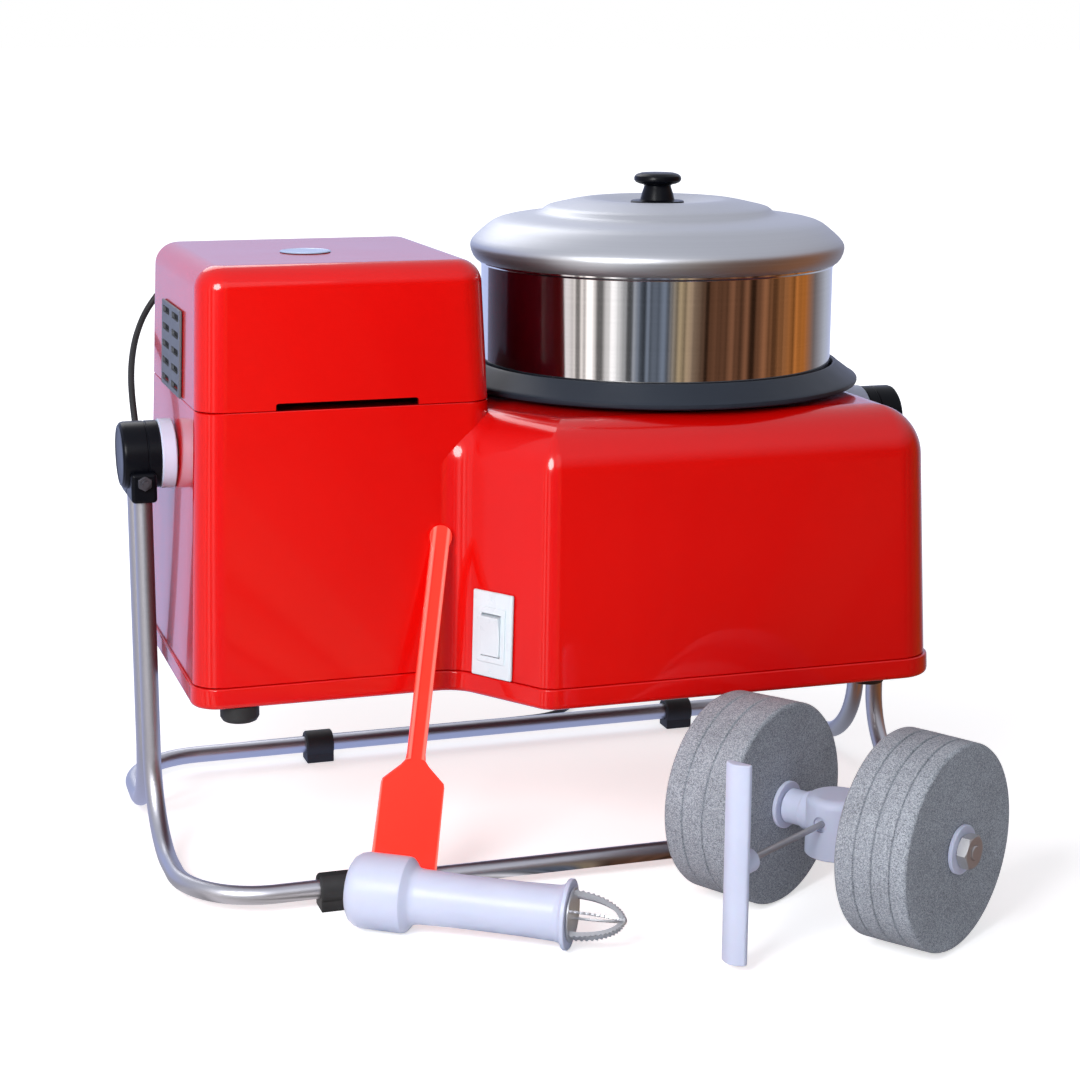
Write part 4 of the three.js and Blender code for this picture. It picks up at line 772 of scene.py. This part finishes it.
def drafted(plan, bottom, top, edge, inset=0.0, ledge=None):
    """A leaning body with a rounded top edge, and a small ledge at its foot where one is given."""
    rings = [outline(plan, bottom, lean(bottom) - inset)]
    if ledge:
        rings.insert(0, outline(plan, bottom, lean(bottom) - inset - ledge))
        rings[1] = outline(plan, bottom + ledge, lean(bottom + ledge) - inset)
    for k in range(EDGE_STEPS + 1):
        angle = math.pi / 2 * k / EDGE_STEPS
        z = top - inset - (edge - inset) * (1 - math.sin(angle))
        rings.append(outline(plan, z, lean(z) - inset, (edge - inset) * (1 - math.cos(angle))))
    return lofted(rings)


def shell():
    """The deck and the lower half of the tower, up to the seam."""
    start = DECK_TOP - DECK_EDGE
    tower = lofted([
        outline(TOWER, start, lean(start)), outline(TOWER, SEAM - 0.8, lean(SEAM)),
        outline(TOWER, SEAM, lean(SEAM) - 0.7), outline(TOWER, SEAM, lean(SEAM) - 3),
        outline(TOWER, SEAM - 3, lean(SEAM) - 3.2),
    ])
    return together(drafted(BASE, TRAY_TOP + 0.3, DECK_TOP, DECK_EDGE, ledge=0.6), tower)


def cap():
    """The tower's cover, hollow, with the slot under it and the window of the grille."""
    bottom = SEAM + CAP_GAP
    return cut(
        drafted(TOWER, bottom, TOWER_TOP, TOWER_EDGE, ledge=0.8),
        drafted(TOWER, bottom - 6, TOWER_TOP, TOWER_EDGE, inset=WALL),
        soften(block(-252, -131, -160, -60, bottom - 10, bottom + 6.2), 2.4, 4),
        block(-360, -260, GRILLE_Y - 43, GRILLE_Y + 43, GRILLE_Z - 32, GRILLE_Z + 32),
    )


def tray():
    """The lip round the lower edge, 2 mm proud of the walls."""
    edges = [(TRAY_BOTTOM, 5.5), (TRAY_BOTTOM, 5), (162.4, 2.9), (163.5, 1.3), (165, 0.4), (167, 0),
             (178.8, 0), (179.6, 0.3), (TRAY_TOP, 1.0), (TRAY_TOP, 5)]
    return lofted([outline(BASE, z, lean(z) + 2.0, trim) for z, trim in edges])


def on_left_side(proud):
    leaning = Matrix.Rotation(math.atan(DRAFT), 4, "Y")
    return at(TOWER_LEFT - lean(GRILLE_Z) - proud, GRILLE_Y, GRILLE_Z) @ leaning


def grille():
    """A raised frame with two columns of louvres, on the leaning left side."""
    width, height, thick = 96.0, 74.0, 2.5
    plate = soften(block(-thick, 0, -width / 2, width / 2, -height / 2, height / 2), 1.0, 3)
    for y in (-width / 4, width / 4):
        for k in range(5):
            z = (k - 2) * height / 5
            slot = block(-thick - 4, 4, y - 17.5, y + 17.5, z - 3, z + 3)
            lengthwise = [e for e in slot.edges if abs((e.verts[0].co - e.verts[1].co).x) > 1]
            plate = cut(plate, round_edges(slot, lengthwise, 2.4, 4))
    return place(plate, on_left_side(0.3))


def badge():
    bm = spun([
        (0, 528.3), (21.6, 528.3), (22, 528.6), (21.6, 529.3), (19.8, 529.5), (19.2, 529.2), (0, 529.2),
    ], 64)
    return place(bm, at(-201, -4, 0))


for name, shape, node_name in (
    ("housing_gel_shell", shell(), "housing_shell"), ("tower_gel_cap", cap(), "tower_cover"),
    ("tray_lip", tray(), "base_tray"),
):
    settle(name, shape, "housing", red_gel, "red_shell", node_name, sharp=40)
settle("side_grille", grille(), "housing", grille_grey, "grey_paint", "vent_grille")
# painted shade: a near-black sheet behind the grille window stands in for the shade inside the tower
grille_shade_sheet = place(block(-0.1, 3, -42.6, 42.6, -31.6, 31.6), on_left_side(0))
settle("grille_painted_shade", grille_shade_sheet, "housing", painted_shade_black, "black_plastic")
settle("blank_badge", badge(), "housing", badge_foil, "badge_foil", "top_badge")

# switch on the cheek
CHEEK_TURN = math.atan2(-CHEEK_DEPTH, CHEEK)
SWITCH_Z, SWITCH_SHARE = 217.6, 0.52
ON_CHEEK = (
    at(CHEEK_X - SWITCH_SHARE * CHEEK + lean(SWITCH_Z) * math.sin(CHEEK_TURN),
       -DECK_HALF + SWITCH_SHARE * CHEEK_DEPTH - lean(SWITCH_Z) * math.cos(CHEEK_TURN), SWITCH_Z)
    @ Matrix.Rotation(CHEEK_TURN, 4, "Z") @ Matrix.Rotation(-math.atan(DRAFT), 4, "X")
)
ROCKER_LIFT = 0.07


def switch_frame():
    """Wide plate, raised inner frame and the well of the rocker."""
    plate = soften(block(-21.5, 21.5, -4, -0.3, -37, 37), 1.6, 3)
    inner = soften(block(-15, 15, -5.2, -0.4, -24, 24), 0.8, 3)
    back = block(-13.5, 13.5, -1, 24, -21.5, 21.5)
    well = block(-10.5, 10.5, -12, 9, -18.5, 18.5)
    screws = [place(rod(1.8, 3.4, 8, 20), at(0, 0, z) @ turn(90, "X")) for z in (-31, 31)]
    return place(cut(joined(plate, inner, back), well, *screws), ON_CHEEK)


def switch_rocker():
    """A key with a hollow face and a short mark at its upper end."""
    high, thick, width = 17.0, 13.0, 20.4
    hollow = [(high - 2 * high * k / 12, thick - 1.5 * math.sin(math.pi * k / 12)) for k in range(1, 12)]
    side = [(-high, 0), (high, 0), (high, thick), *hollow, (-high, thick)]
    key = soften(slab([(-width / 2, 5 - y, z) for z, y in side], (width, 0, 0)), 0.7, 3, 40)
    mark = soften(block(-0.6, 0.6, -8.8, -7.2, 8, 12.5), 0.2)
    return place(cut(key, mark), ON_CHEEK @ Matrix.Rotation(ROCKER_LIFT, 4, "X"))


settle("switch_frame", switch_frame(), "housing", switch_white, "white_plastic", "switch_plate")
settle("switch_key", switch_rocker(), "rocker", switch_white, "white_plastic", "switch_rocker")


# drum, pan and lid
def drum_piece(name, profile, steps, body, material, slot, node_name, closed=False, sharp=30):
    shape = place(spun(profile, steps, closed), at(DRUM_X, 0, 0))
    settle(name, shape, body, material, slot, node_name, sharp=sharp)


drum_piece("turntable_ring", [
    (0, 403.5), (176, 403.5), (181, 404.2), (183.2, 405.6), (184, 407.4), (184, 409.2), (183, 410.6),
    (181, 411.6), (167.5, 421.4), (165.5, 423.2), (163.8, 424), (162, 423.6), (160.2, 420), (159.6, 409),
    (159.6, 408.5), (0, 408.5),
], 160, "drum", black_ring, "black_plastic", "turntable")
drum_piece("pan_spun", [
    (0, 408.8), (147, 408.8), (152.5, 409.6), (156.6, 412.4), (158.5, 416), (159, 421), (159, 509.8),
    (160.2, 510.6), (161, 511.8), (161, 513.4), (160.3, 514.6), (159, 515), (157.6, 514.6), (157, 513.6),
    (157, 422), (156.4, 417), (154.5, 413.6), (151.5, 411.6), (146, 410.8), (0, 410.8),
], 160, "drum", pan_steel, "polished_steel", "drum_pan")
drum_piece("stone_bed_dressed", [
    (17.4, 411.1), (145, 411.1), (148, 414), (148, 430), (145.5, 433.1), (60, 433.1), (56, 432.4),
    (52, 433.1), (20, 433.1), (17.4, 432),
], 128, "drum", bed_grey, "granite", "stone_bed", closed=True)
drum_piece("post_turned", [
    (0, 411.1), (16.6, 411.1), (17, 411.6), (17, 443), (16, 445), (12.4, 453), (11.5, 456), (11.5, 500),
    (10.6, 502.6), (8.4, 504), (0, 504),
], 48, "drum", zinc, "zinc_steel", "centre_post")
drum_piece("lid_spun", [
    (162.8, 513.3), (163.8, 514), (166.4, 517.2), (168.2, 521.4), (169, 525.4), (168.8, 528.2),
    (167.6, 530.8), (164.6, 534.4), (160, 538.6), (154.8, 543), (149.6, 546.8), (144.8, 549), (139, 550.6),
    (131, 552), (121, 553.2), (112, 554.4), (107.4, 555.4), (104.6, 557), (102.4, 559.2), (100, 560.8),
    (96, 562), (88, 563.8), (78, 566), (70, 567.4), (64, 568), (58, 567.6), (48, 565.6), (36, 563), (26, 561),
    (20, 560.1), (12, 559.8), (0, 559.5), (0, 557.5), (20, 558), (64, 565.9), (95.5, 559.8), (106, 553.2),
    (138, 548.4), (147.8, 545), (161, 532), (162.4, 521), (156, 515.3), (161.3, 515.3), (161.3, 513.3),
], 160, "lid", lid_metal, "lid_aluminium", "lid", closed=True, sharp=24)
drum_piece("knob_turned", [
    (0, 560.2), (13.6, 560.2), (13.8, 560.5), (13.8, 562.5), (23.4, 562.6), (24, 563.2), (24, 565.1),
    (23.3, 565.8), (17, 566), (15.6, 566.6), (14.9, 569), (13.9, 573), (12.5, 577), (11.9, 579), (13, 580.2),
    (16.8, 581), (19.6, 582.2), (21.1, 584), (21.3, 585.8), (20.6, 587.8), (18.6, 589.4), (15, 590.5),
    (8, 590.9), (0, 591),
], 64, "lid", black_gloss, "black_plastic", "lid_knob")

# stand, feet and clamps
LEG_X, LEG_Y, LEG_TOP, TUBE_RADIUS, RAIL_Y, RAIL_Z, PIVOT_Z = 349.5, 20, 331, 8.0, 191, 20, 358
TUBE_HOLE = 8.3
ON_RAIL = at(0, 0, RAIL_Z) @ ALONG_X
ON_PIVOT = at(0, 0, PIVOT_Z) @ ALONG_X
SIDES = (("left", -1), ("right", 1))


def facing(side):
    """Turns a piece that is drawn for the right over to its own side."""
    return turn(180 if side < 0 else 0, "Z")


def stand_tube(side):
    """Down one leg, round onto the rail, along it and up the other leg."""
    bends = [Vector(p) for p in (
        (-LEG_X, side * LEG_Y, LEG_TOP), (-LEG_X, side * LEG_Y, RAIL_Z), (4 - LEG_X, side * RAIL_Y, RAIL_Z),
        (LEG_X - 4, side * RAIL_Y, RAIL_Z), (LEG_X, side * LEG_Y, RAIL_Z), (LEG_X, side * LEG_Y, LEG_TOP),
    )]
    points = [bends[0]]
    for before, here, after, radius in zip(bends, bends[1:], bends[2:], (75, 72, 72, 75)):
        points += corner(before, here, after, radius, 18)
    return [*points, bends[-1]]


def rail_foot(open_top):
    """A rubber sleeve on the rail, flat where it stands."""
    outer = spun([(0, -13.5), (12.3, -13.5), (13.5, -12.3), (13.5, 12.3), (12.3, 13.5), (0, 13.5)], 48)
    sole = soften(block(-13.5, 13.5, -11, 11, FLOOR, FLOOR + 14), 1.0, 2)
    gap = [block(-30, 30, -4.5, 4.5, RAIL_Z, 60)] if open_top else []
    under_floor = block(-40, 40, -40, 40, FLOOR - 40, FLOOR)
    hole = place(rod(TUBE_HOLE, -30, 30, 40), ON_RAIL)
    return cut(joined(place(outer, ON_RAIL), sole), hole, *gap, under_floor)


def clamp():
    """A round cover over the pivot pin, and below it a block that holds both tube ends."""
    barrel = spun([
        (0, 333), (28, 333), (29, 334), (29, 343), (28.4, 343.6), (28.4, 344.4), (29, 345), (29, 361.5),
        (28.2, 364), (26, 365.7), (23.5, 366), (22, 365.4), (0, 365.4),
    ], 72)
    socket = soften(block(338.5, 360.5, -33, 33, 321, 347), 3.5, 4)
    tube_ends = [place(rod(TUBE_HOLE, 310, LEG_TOP + 0.3, 32), at(LEG_X, y, 0)) for y in (-LEG_Y, LEG_Y)]
    bore = place(rod(12.35, 320, 358, 40), ON_PIVOT)
    split = block(338, 361, -1.2, 1.2, 318, 329)
    return cut(joined(place(barrel, ON_PIVOT), socket), *tube_ends, bore, split)


def clamp_bolt():
    """A hexagon head with a washer, the shank and a nut on the other side."""
    head, far_nut = [soften(rod(6.5, low, low + 3.9, 6), 0.6, 2, 20) for low in (-37.3, 33.4)]
    bolt = together(head, rod(7.6, -33.5, -32.9, 32), rod(3, -36, 41, 20), far_nut)
    return place(bolt, at(LEG_X, 0, 339) @ ALONG_Y)


def spacer(low):
    return spun([(12.4, low), (29, low), (30, low + 1), (30, 331.6), (29, 332.7), (12.4, 332.7)], 64, True)


def bumper():
    return spun([
        (0, 147.2), (4, 147.2), (5, 148.4), (11.5, 148.4), (12.5, 147.2), (13.4, 147.2), (14.6, 147.8),
        (16.5, 151), (16.5, 161.7), (0, 161.7),
    ], 48)


for name, side in (("front", -1), ("rear", 1)):
    bent = tube(f"bent_tube_{name}", stand_tube(side), TUBE_RADIUS, 10)
    smooth_shade(bent.data, 50)
    seat(bent, "root", tube_steel, "stand_steel", f"stand_tube_{name}")

for name, x, y in (
    ("front_left", -226, -RAIL_Y), ("front_right", 227, -RAIL_Y), ("rear_left", -155, RAIL_Y),
    ("rear_right", 227, RAIL_Y),
):
    settle(f"rail_sleeve_{name}", place(rail_foot(y < 0), at(x, y, 0)), "root", rubber, "black_rubber",
           f"rail_foot_{name}")

for (name, side), spacer_low in zip(SIDES, (320.0, 308.4)):
    settle(f"clamp_moulded_{name}", place(clamp(), facing(side)), "root", black_gloss, "black_plastic",
           f"pivot_clamp_{name}")
    settle(f"clamp_screw_{name}", place(clamp_bolt(), facing(side)), "root", dark_bolt, "zinc_steel",
           f"clamp_bolt_{name}")
    settle(f"spacer_turned_{name}", place(spacer(spacer_low), facing(side) @ ON_PIVOT), "housing", white,
           "white_plastic", f"pivot_spacer_{name}")

for name, x, y in (
    ("front_left", -287, -110), ("rear_left", -287, 135), ("front_right", 271, -160),
    ("rear_right", 271, 160),
):
    settle(f"rubber_foot_{name}", place(bumper(), at(x, y, 0)), "housing", rubber, "black_rubber",
           f"housing_foot_{name}")

# roller set and wiper
ROLLERS = at(161.4, -333.8, FLOOR) @ Matrix.Rotation(-0.998, 4, "Z")
AXLE_Z = 86.6
ON_AXLE = at(0, 0, AXLE_Z) @ ALONG_X
ACROSS_AXLE = at(0, 0, AXLE_Z) @ ALONG_Y


def stone(grooves):
    """A stone that tapers outwards, with rounded edges and turned grooves."""
    inner, outer, radius, taper, bore = 50.0, 113.5, 85.9, 1.4, 11.2

    def radius_at(x):
        return radius - taper * (x - inner) / (outer - inner)

    profile = [(bore, inner), (20.5, inner), (radius - 4, inner), (radius - 1.5, inner + 0.8),
               (radius - 0.3, inner + 2.6)]
    for share in reversed(grooves):
        x = outer - share * (outer - inner)
        r = radius_at(x)
        profile += [(r, x - 1.2), (r - 0.5, x - 0.7), (r - 1.5, x - 0.3), (r - 1.5, x + 0.3),
                    (r - 0.5, x + 0.7), (r, x + 1.2)]
    end = radius_at(outer)
    profile += [(end, outer - 3), (end - 1, outer - 1), (end - 3, outer), (bore, outer)]
    return spun(profile, 160, True)


def bush():
    return spun([
        (6.4, 46), (19.4, 46), (20, 46.6), (20, 49.1), (19.4, 49.7), (10, 49.7), (10, 113.8), (19.4, 113.8),
        (20, 114.4), (20, 116.9), (19.4, 117.5), (6.4, 117.5),
    ], 64, True)


def nut():
    """A hexagon with its corners turned off at both ends."""
    turned = spun([
        (0, 117), (12.9, 117), (12.9, 118), (14.5, 118.9), (14.5, 125.6), (12.6, 126.8), (0, 126.8),
    ], 60)
    return cut(boolean(rod(14.5, 117.8, 126.8, 6), turned, "INTERSECT"), rod(6.35, 110, 130, 32))


def axle():
    thread = [step for k in range(7) for step in ((5.4, 118 + 1.4 * k), (6, 118.7 + 1.4 * k))]
    profile = [(0, -127.9), (5, -127.9), (6, -126.6), (6, -118), (6, 118), *thread, (5, 127.9), (0, 127.9)]
    return place(spun(profile, 32), ROLLERS @ ON_AXLE)


def hub():
    """An upright post with its socket below, crossed by the sleeve of the axle."""
    post = spun([
        (13, 56), (24, 56), (25, 57), (25, 99), (24.4, 102.4), (22.6, 104.9), (19.6, 106.3), (16, 106.6),
        (0, 106.6), (0, 70), (13, 70),
    ], 72, True)
    sleeve = spun([
        (0, -45), (13.4, -45), (14.5, -44), (14.5, -29), (16, -27.5), (16, 27.5), (14.5, 29), (14.5, 44),
        (13.4, 45), (0, 45),
    ], 48)
    recess = spun([(0, -30), (6.5, -30), (6.5, -22.5), (2.9, -22), (2.9, -8), (0, -8)], 32)
    tools = (place(recess, ACROSS_AXLE), place(rod(6.3, -60, 60, 32), ON_AXLE))
    return place(cut(joined(post, place(sleeve, ON_AXLE)), *tools), ROLLERS)


def wiper_rod():
    bm = spun([(0, -138.5), (2.3, -138.5), (2.6, -138), (2.6, -12.4), (2.3, -12), (0, -12)], 24)
    return place(bm, ROLLERS @ ACROSS_AXLE)


def wiper_blade():
    """An upright blade with a hollow front, and the boss that takes the rod."""
    front = [(-11 + 22 * k / 10, -146 - 4.4 * math.sin(math.pi * k / 10)) for k in range(1, 10)]
    section = [(-11, -141.5), (-11, -145.5), *front, (11, -145.5), (11, -141.5)]
    blade = soften(slab([(x, y, 7) for x, y in section], (0, 0, 163)), 1.2, 3, 35)
    boss = spun([(0, -144), (9.5, -144), (9.5, -126), (8.6, -124.9), (7, -124.5), (0, -124.5)], 40)
    hole = place(rod(2.9, -138.8, -120, 24), ACROSS_AXLE)
    return place(cut(joined(blade, place(boss, ACROSS_AXLE)), hole), ROLLERS)


for (name, side), grooves in zip(SIDES, ((0.3, 0.62), (0.22, 0.47, 0.72))):
    where = ROLLERS @ at(0, 0, AXLE_Z) @ facing(side) @ ALONG_X
    body = f"stone_{name}"
    settle(f"stone_ground_{name}", place(stone(grooves), where), body, stone_grey, "granite", body, sharp=40)
    settle(f"bush_turned_{name}", place(bush(), where), body, white, "white_plastic", f"bush_{name}")
    settle(f"hex_nut_{name}", place(nut(), where), "root", zinc, "zinc_steel", f"axle_nut_{name}")
settle("axle_threaded", axle(), "root", zinc, "zinc_steel", "roller_axle")
settle("hub_moulded", hub(), "root", white, "white_plastic", "roller_hub")
settle("wiper_bar", wiper_rod(), "root", zinc, "zinc_steel", "wiper_rod")
settle("wiper_moulded", wiper_blade(), "wiper", white, "white_plastic", "wiper_blade")

# scraper
TIP = math.asin(2.5 / 131)
SCRAPER = (
    at(-221.8, -234.6, FLOOR + 31.3 + 49 * math.sin(TIP))
    @ Matrix.Rotation(-0.562, 4, "Z") @ Matrix.Rotation(TIP, 4, "Y")
)
STRIP_TEETH, TOOTH_DEPTH = 30, 1.5


def scraper_grip():
    body = spun([
        (0, 0), (18, 0), (23, 0.9), (27, 3.4), (29.8, 7.6), (31, 12.5), (31, 46), (30.4, 48.6), (28, 51),
        (24.6, 53.4), (23, 56), (22.4, 60), (21.6, 90), (21.5, 117), (21.7, 145), (22.4, 172), (23.2, 176),
        (25.4, 178.6), (28, 179.8), (28.5, 180.4), (28.5, 183), (28, 183.5), (0, 183.5),
    ], 80)
    return place(cut(body, rod(13.5, -10, 40, 40)), SCRAPER @ ALONG_X)


def scraper_strips():
    """Three arched strips with saw teeth outside, crossing at the nose, on a round foot."""
    outer, inner = [], []
    for k in range(2 * STRIP_TEETH + 1):
        angle = -math.pi / 2 + math.pi * k / (2 * STRIP_TEETH)
        tooth = TOOTH_DEPTH * (k % 2)
        outer.append(((44 - tooth) * math.cos(angle), (22 - tooth) * math.sin(angle), -0.8))
        if k % 2 == 0:
            inner.append((39 * math.cos(angle), 17 * math.sin(angle), -0.8))
    strips = [place(slab(outer + inner[::-1], (0, 0, 1.6)), turn(60 * i + 30, "X")) for i in range(3)]
    foot = place(spun([(0, 0), (21.5, 0), (22, 0.5), (22, 1.4), (21.5, 1.8), (0, 1.8)], 48), ALONG_X)
    nose = place(spun([(0, 0), (3.6, 0), (3.2, 1.4), (1.6, 2.4), (0, 2.6)], 24), at(42.4, 0, 0) @ ALONG_X)
    return place(together(*strips, foot, nose), SCRAPER @ at(183.8, 0, 0))


settle("scraper_grip", scraper_grip(), "root", white, "white_plastic", "scraper_body")
settle("scraper_strips", scraper_strips(), "root", blade_steel, "blade_steel", "scraper_blades", sharp=20)

# spatula
SPATULA_FOOT, SPATULA_HEAD = Vector((-175, -207.5, FLOOR + 5.8)), Vector((-114, -124.74, 307))
SPATULA_LENGTH = (SPATULA_HEAD - SPATULA_FOOT).length
RISE = (SPATULA_HEAD - SPATULA_FOOT).normalized()
ACROSS = (Vector((1, 0, 0)) - RISE * RISE.x).normalized()
GRIP_ROUND = 9.8
# distances from the middle at which the painted highlights run, on the blade's rims and the handle's ribs,
# and the stretch of the neck where they pass from one to the other
RIM_LINE, RIB_LINE, NECK = 0.0278, 0.006, (0.11, 0.118)


def spatula():
    """A flat blade that narrows to a handle with two ribs and a round end."""
    top, r = SPATULA_LENGTH, GRIP_ROUND
    edge = [(29, 0), (27.4, 96), (26.4, 99.5), (12, 112.5), (8.8, 116.5), (8, 122), (8, top - 17),
            (9.6, top - 11.5)]
    edge += [(r * math.cos(a), top - r + r * math.sin(a)) for a in (0.2, 0.5, 0.8, 1.1, 1.4)]
    side = [(x, y, 0) for x, y in edge] + [(-x, y, 0) for x, y in reversed(edge)]
    blade = soften(slab(side, (0, 0, 3.5)), 0.9, 2, 35)
    ribs = [soften(block(x - 1, x + 1, 117, top - 19.6, 0.4, 5.5), 0.6, 2) for x in (-6, 6)]
    leaning = at(*SPATULA_FOOT) @ Matrix((ACROSS, RISE, ACROSS.cross(RISE))).transposed().to_4x4()
    return place(joined(blade, *ribs), leaning)


def paint_edge_glow(tree, principled):
    """Painted glow: the whole spatula glows red, and pale along the ribs of the handle and the rims of the
    blade, where the light that runs inside clear plastic gathers.
    """
    from_foot = vector_maths(tree, "SUBTRACT", in_object(tree), row(*SPATULA_FOOT))
    along = vector_maths(tree, "DOT_PRODUCT", from_foot, RISE)
    aside = maths(tree, "ABSOLUTE", vector_maths(tree, "DOT_PRODUCT", from_foot, ACROSS))
    line = mixed_values(tree, spread(tree, along, *NECK), RIM_LINE, RIB_LINE)
    distance = maths(tree, "ABSOLUTE", maths(tree, "SUBTRACT", aside, line))
    glow = spread(tree, distance, 0.0018, 0.0007)
    feed(tree, principled, {"Emission Color": mixed(tree, glow, (1, 0.04, 0.025, 1), (1, 0.62, 0.52, 1))})


# painted glow and highlights on the spatula
paint_edge_glow(red_clear.node_tree, red_clear.node_tree.nodes["Principled BSDF"])
settle("spatula_clear", spatula(), "spatula", red_clear, "red_clear_plastic", "spatula")

# pieces of the frame that stay as they are
for name, material in {
    "pivot_pin_left": zinc, "pivot_pin_right": zinc, "motor": motor_grey, "motor_bracket": zinc,
    "drive_belt": rubber, "bearing_housing": motor_grey, "motor_shaft": zinc, "motor_pulley": motor_grey,
    "cooling_fan": black_gloss, "drum_shaft": zinc, "drum_pulley": motor_grey,
}.items():
    mesh = frame["nodes"][name].data
    for i in range(len(mesh.materials)):
        mesh.materials[i] = material


# floor, world and lamps
def stage_floor():
    """A pale floor that keeps soft shadows, and that polished faces see as the room."""
    bm = bmesh.new()
    bmesh.ops.create_grid(bm, x_segments=1, y_segments=1, size=60)
    floor = link("floor", mesh_of(bm, "floor"))
    material, tree, paint = shader("floor paint")
    feed(tree, paint, {"Base Color": (0.8, 0.8, 0.82, 1), "Roughness": 0.9, "Specular IOR Level": 0.0})
    rays = node(tree, "LightPath").outputs
    where = in_object(tree)
    fade = spread(tree, vector_maths(tree, "LENGTH", where), 0.5, 1.9, 0.6, 1.0)
    to_camera = maths(tree, "MULTIPLY", rays["Is Camera Ray"], fade)
    glow = node(tree, "Emission", {"Color": (1, 1, 1, 1), "Strength": to_camera}).outputs[0]
    lit = node(tree, "AddShader", {0: paint.outputs[0], 1: glow}).outputs[0]
    around = placed(tree, SURROUNDINGS, {"Direction": where})["Colour"]
    room = node(tree, "Emission", {"Color": around}).outputs[0]
    either = node(tree, "MixShader", {0: rays["Is Glossy Ray"], 1: lit, 2: room}).outputs[0]
    feed(tree, tree.nodes["Material Output"], {"Surface": either})
    floor.data.materials.append(material)


def pale_world():
    """Soft light on all pieces, white to the camera, and the surroundings to polished faces."""
    world = bpy.data.worlds.new("world")
    world.use_nodes = True
    tree = world.node_tree
    soft = tree.nodes["Background"]
    feed(tree, soft, {"Color": (0.92, 0.95, 1.0, 1), "Strength": 0.36})
    where = node(tree, "TexCoord").outputs["Generated"]
    around = placed(tree, SURROUNDINGS, {"Direction": where})["Colour"]
    sky = mixed(tree, spread(tree, parts_of(tree, where)[2], 0.2, 0.6), around, (0.7, 0.72, 0.8, 1))
    rays = node(tree, "LightPath").outputs
    looks = mixed(tree, rays["Is Glossy Ray"], (1, 1, 1, 1), sky)
    seen = node(tree, "Background", {"Color": looks}).outputs[0]
    is_seen = maths(tree, "MAXIMUM", rays["Is Camera Ray"], rays["Is Glossy Ray"])
    both = node(tree, "MixShader", {0: is_seen, 1: soft.outputs[0], 2: seen}).outputs[0]
    feed(tree, tree.nodes["World Output"], {"Surface": both})
    bpy.context.scene.world = world


def lamp(name, where, target, size, power):
    light = bpy.data.lights.new(name, "AREA")
    light.shape, light.size, light.energy = "DISK", size, power
    made = link(name, light)
    made.location = where
    made.rotation_euler = (Vector(target) - Vector(where)).to_track_quat("-Z", "Y").to_euler()


stage_floor()
pale_world()
lamp("key", (-1.05, -1.1, 1.0), (-0.05, 0.05, 0.25), 0.7, 23)
lamp("front", (-0.3, -2.6, 1.9), (0, 0.1, 0.25), 1.6, 5)
lamp("back", (-0.4, 2.6, 2.4), (0, 0.1, 0.3), 2.0, 22)
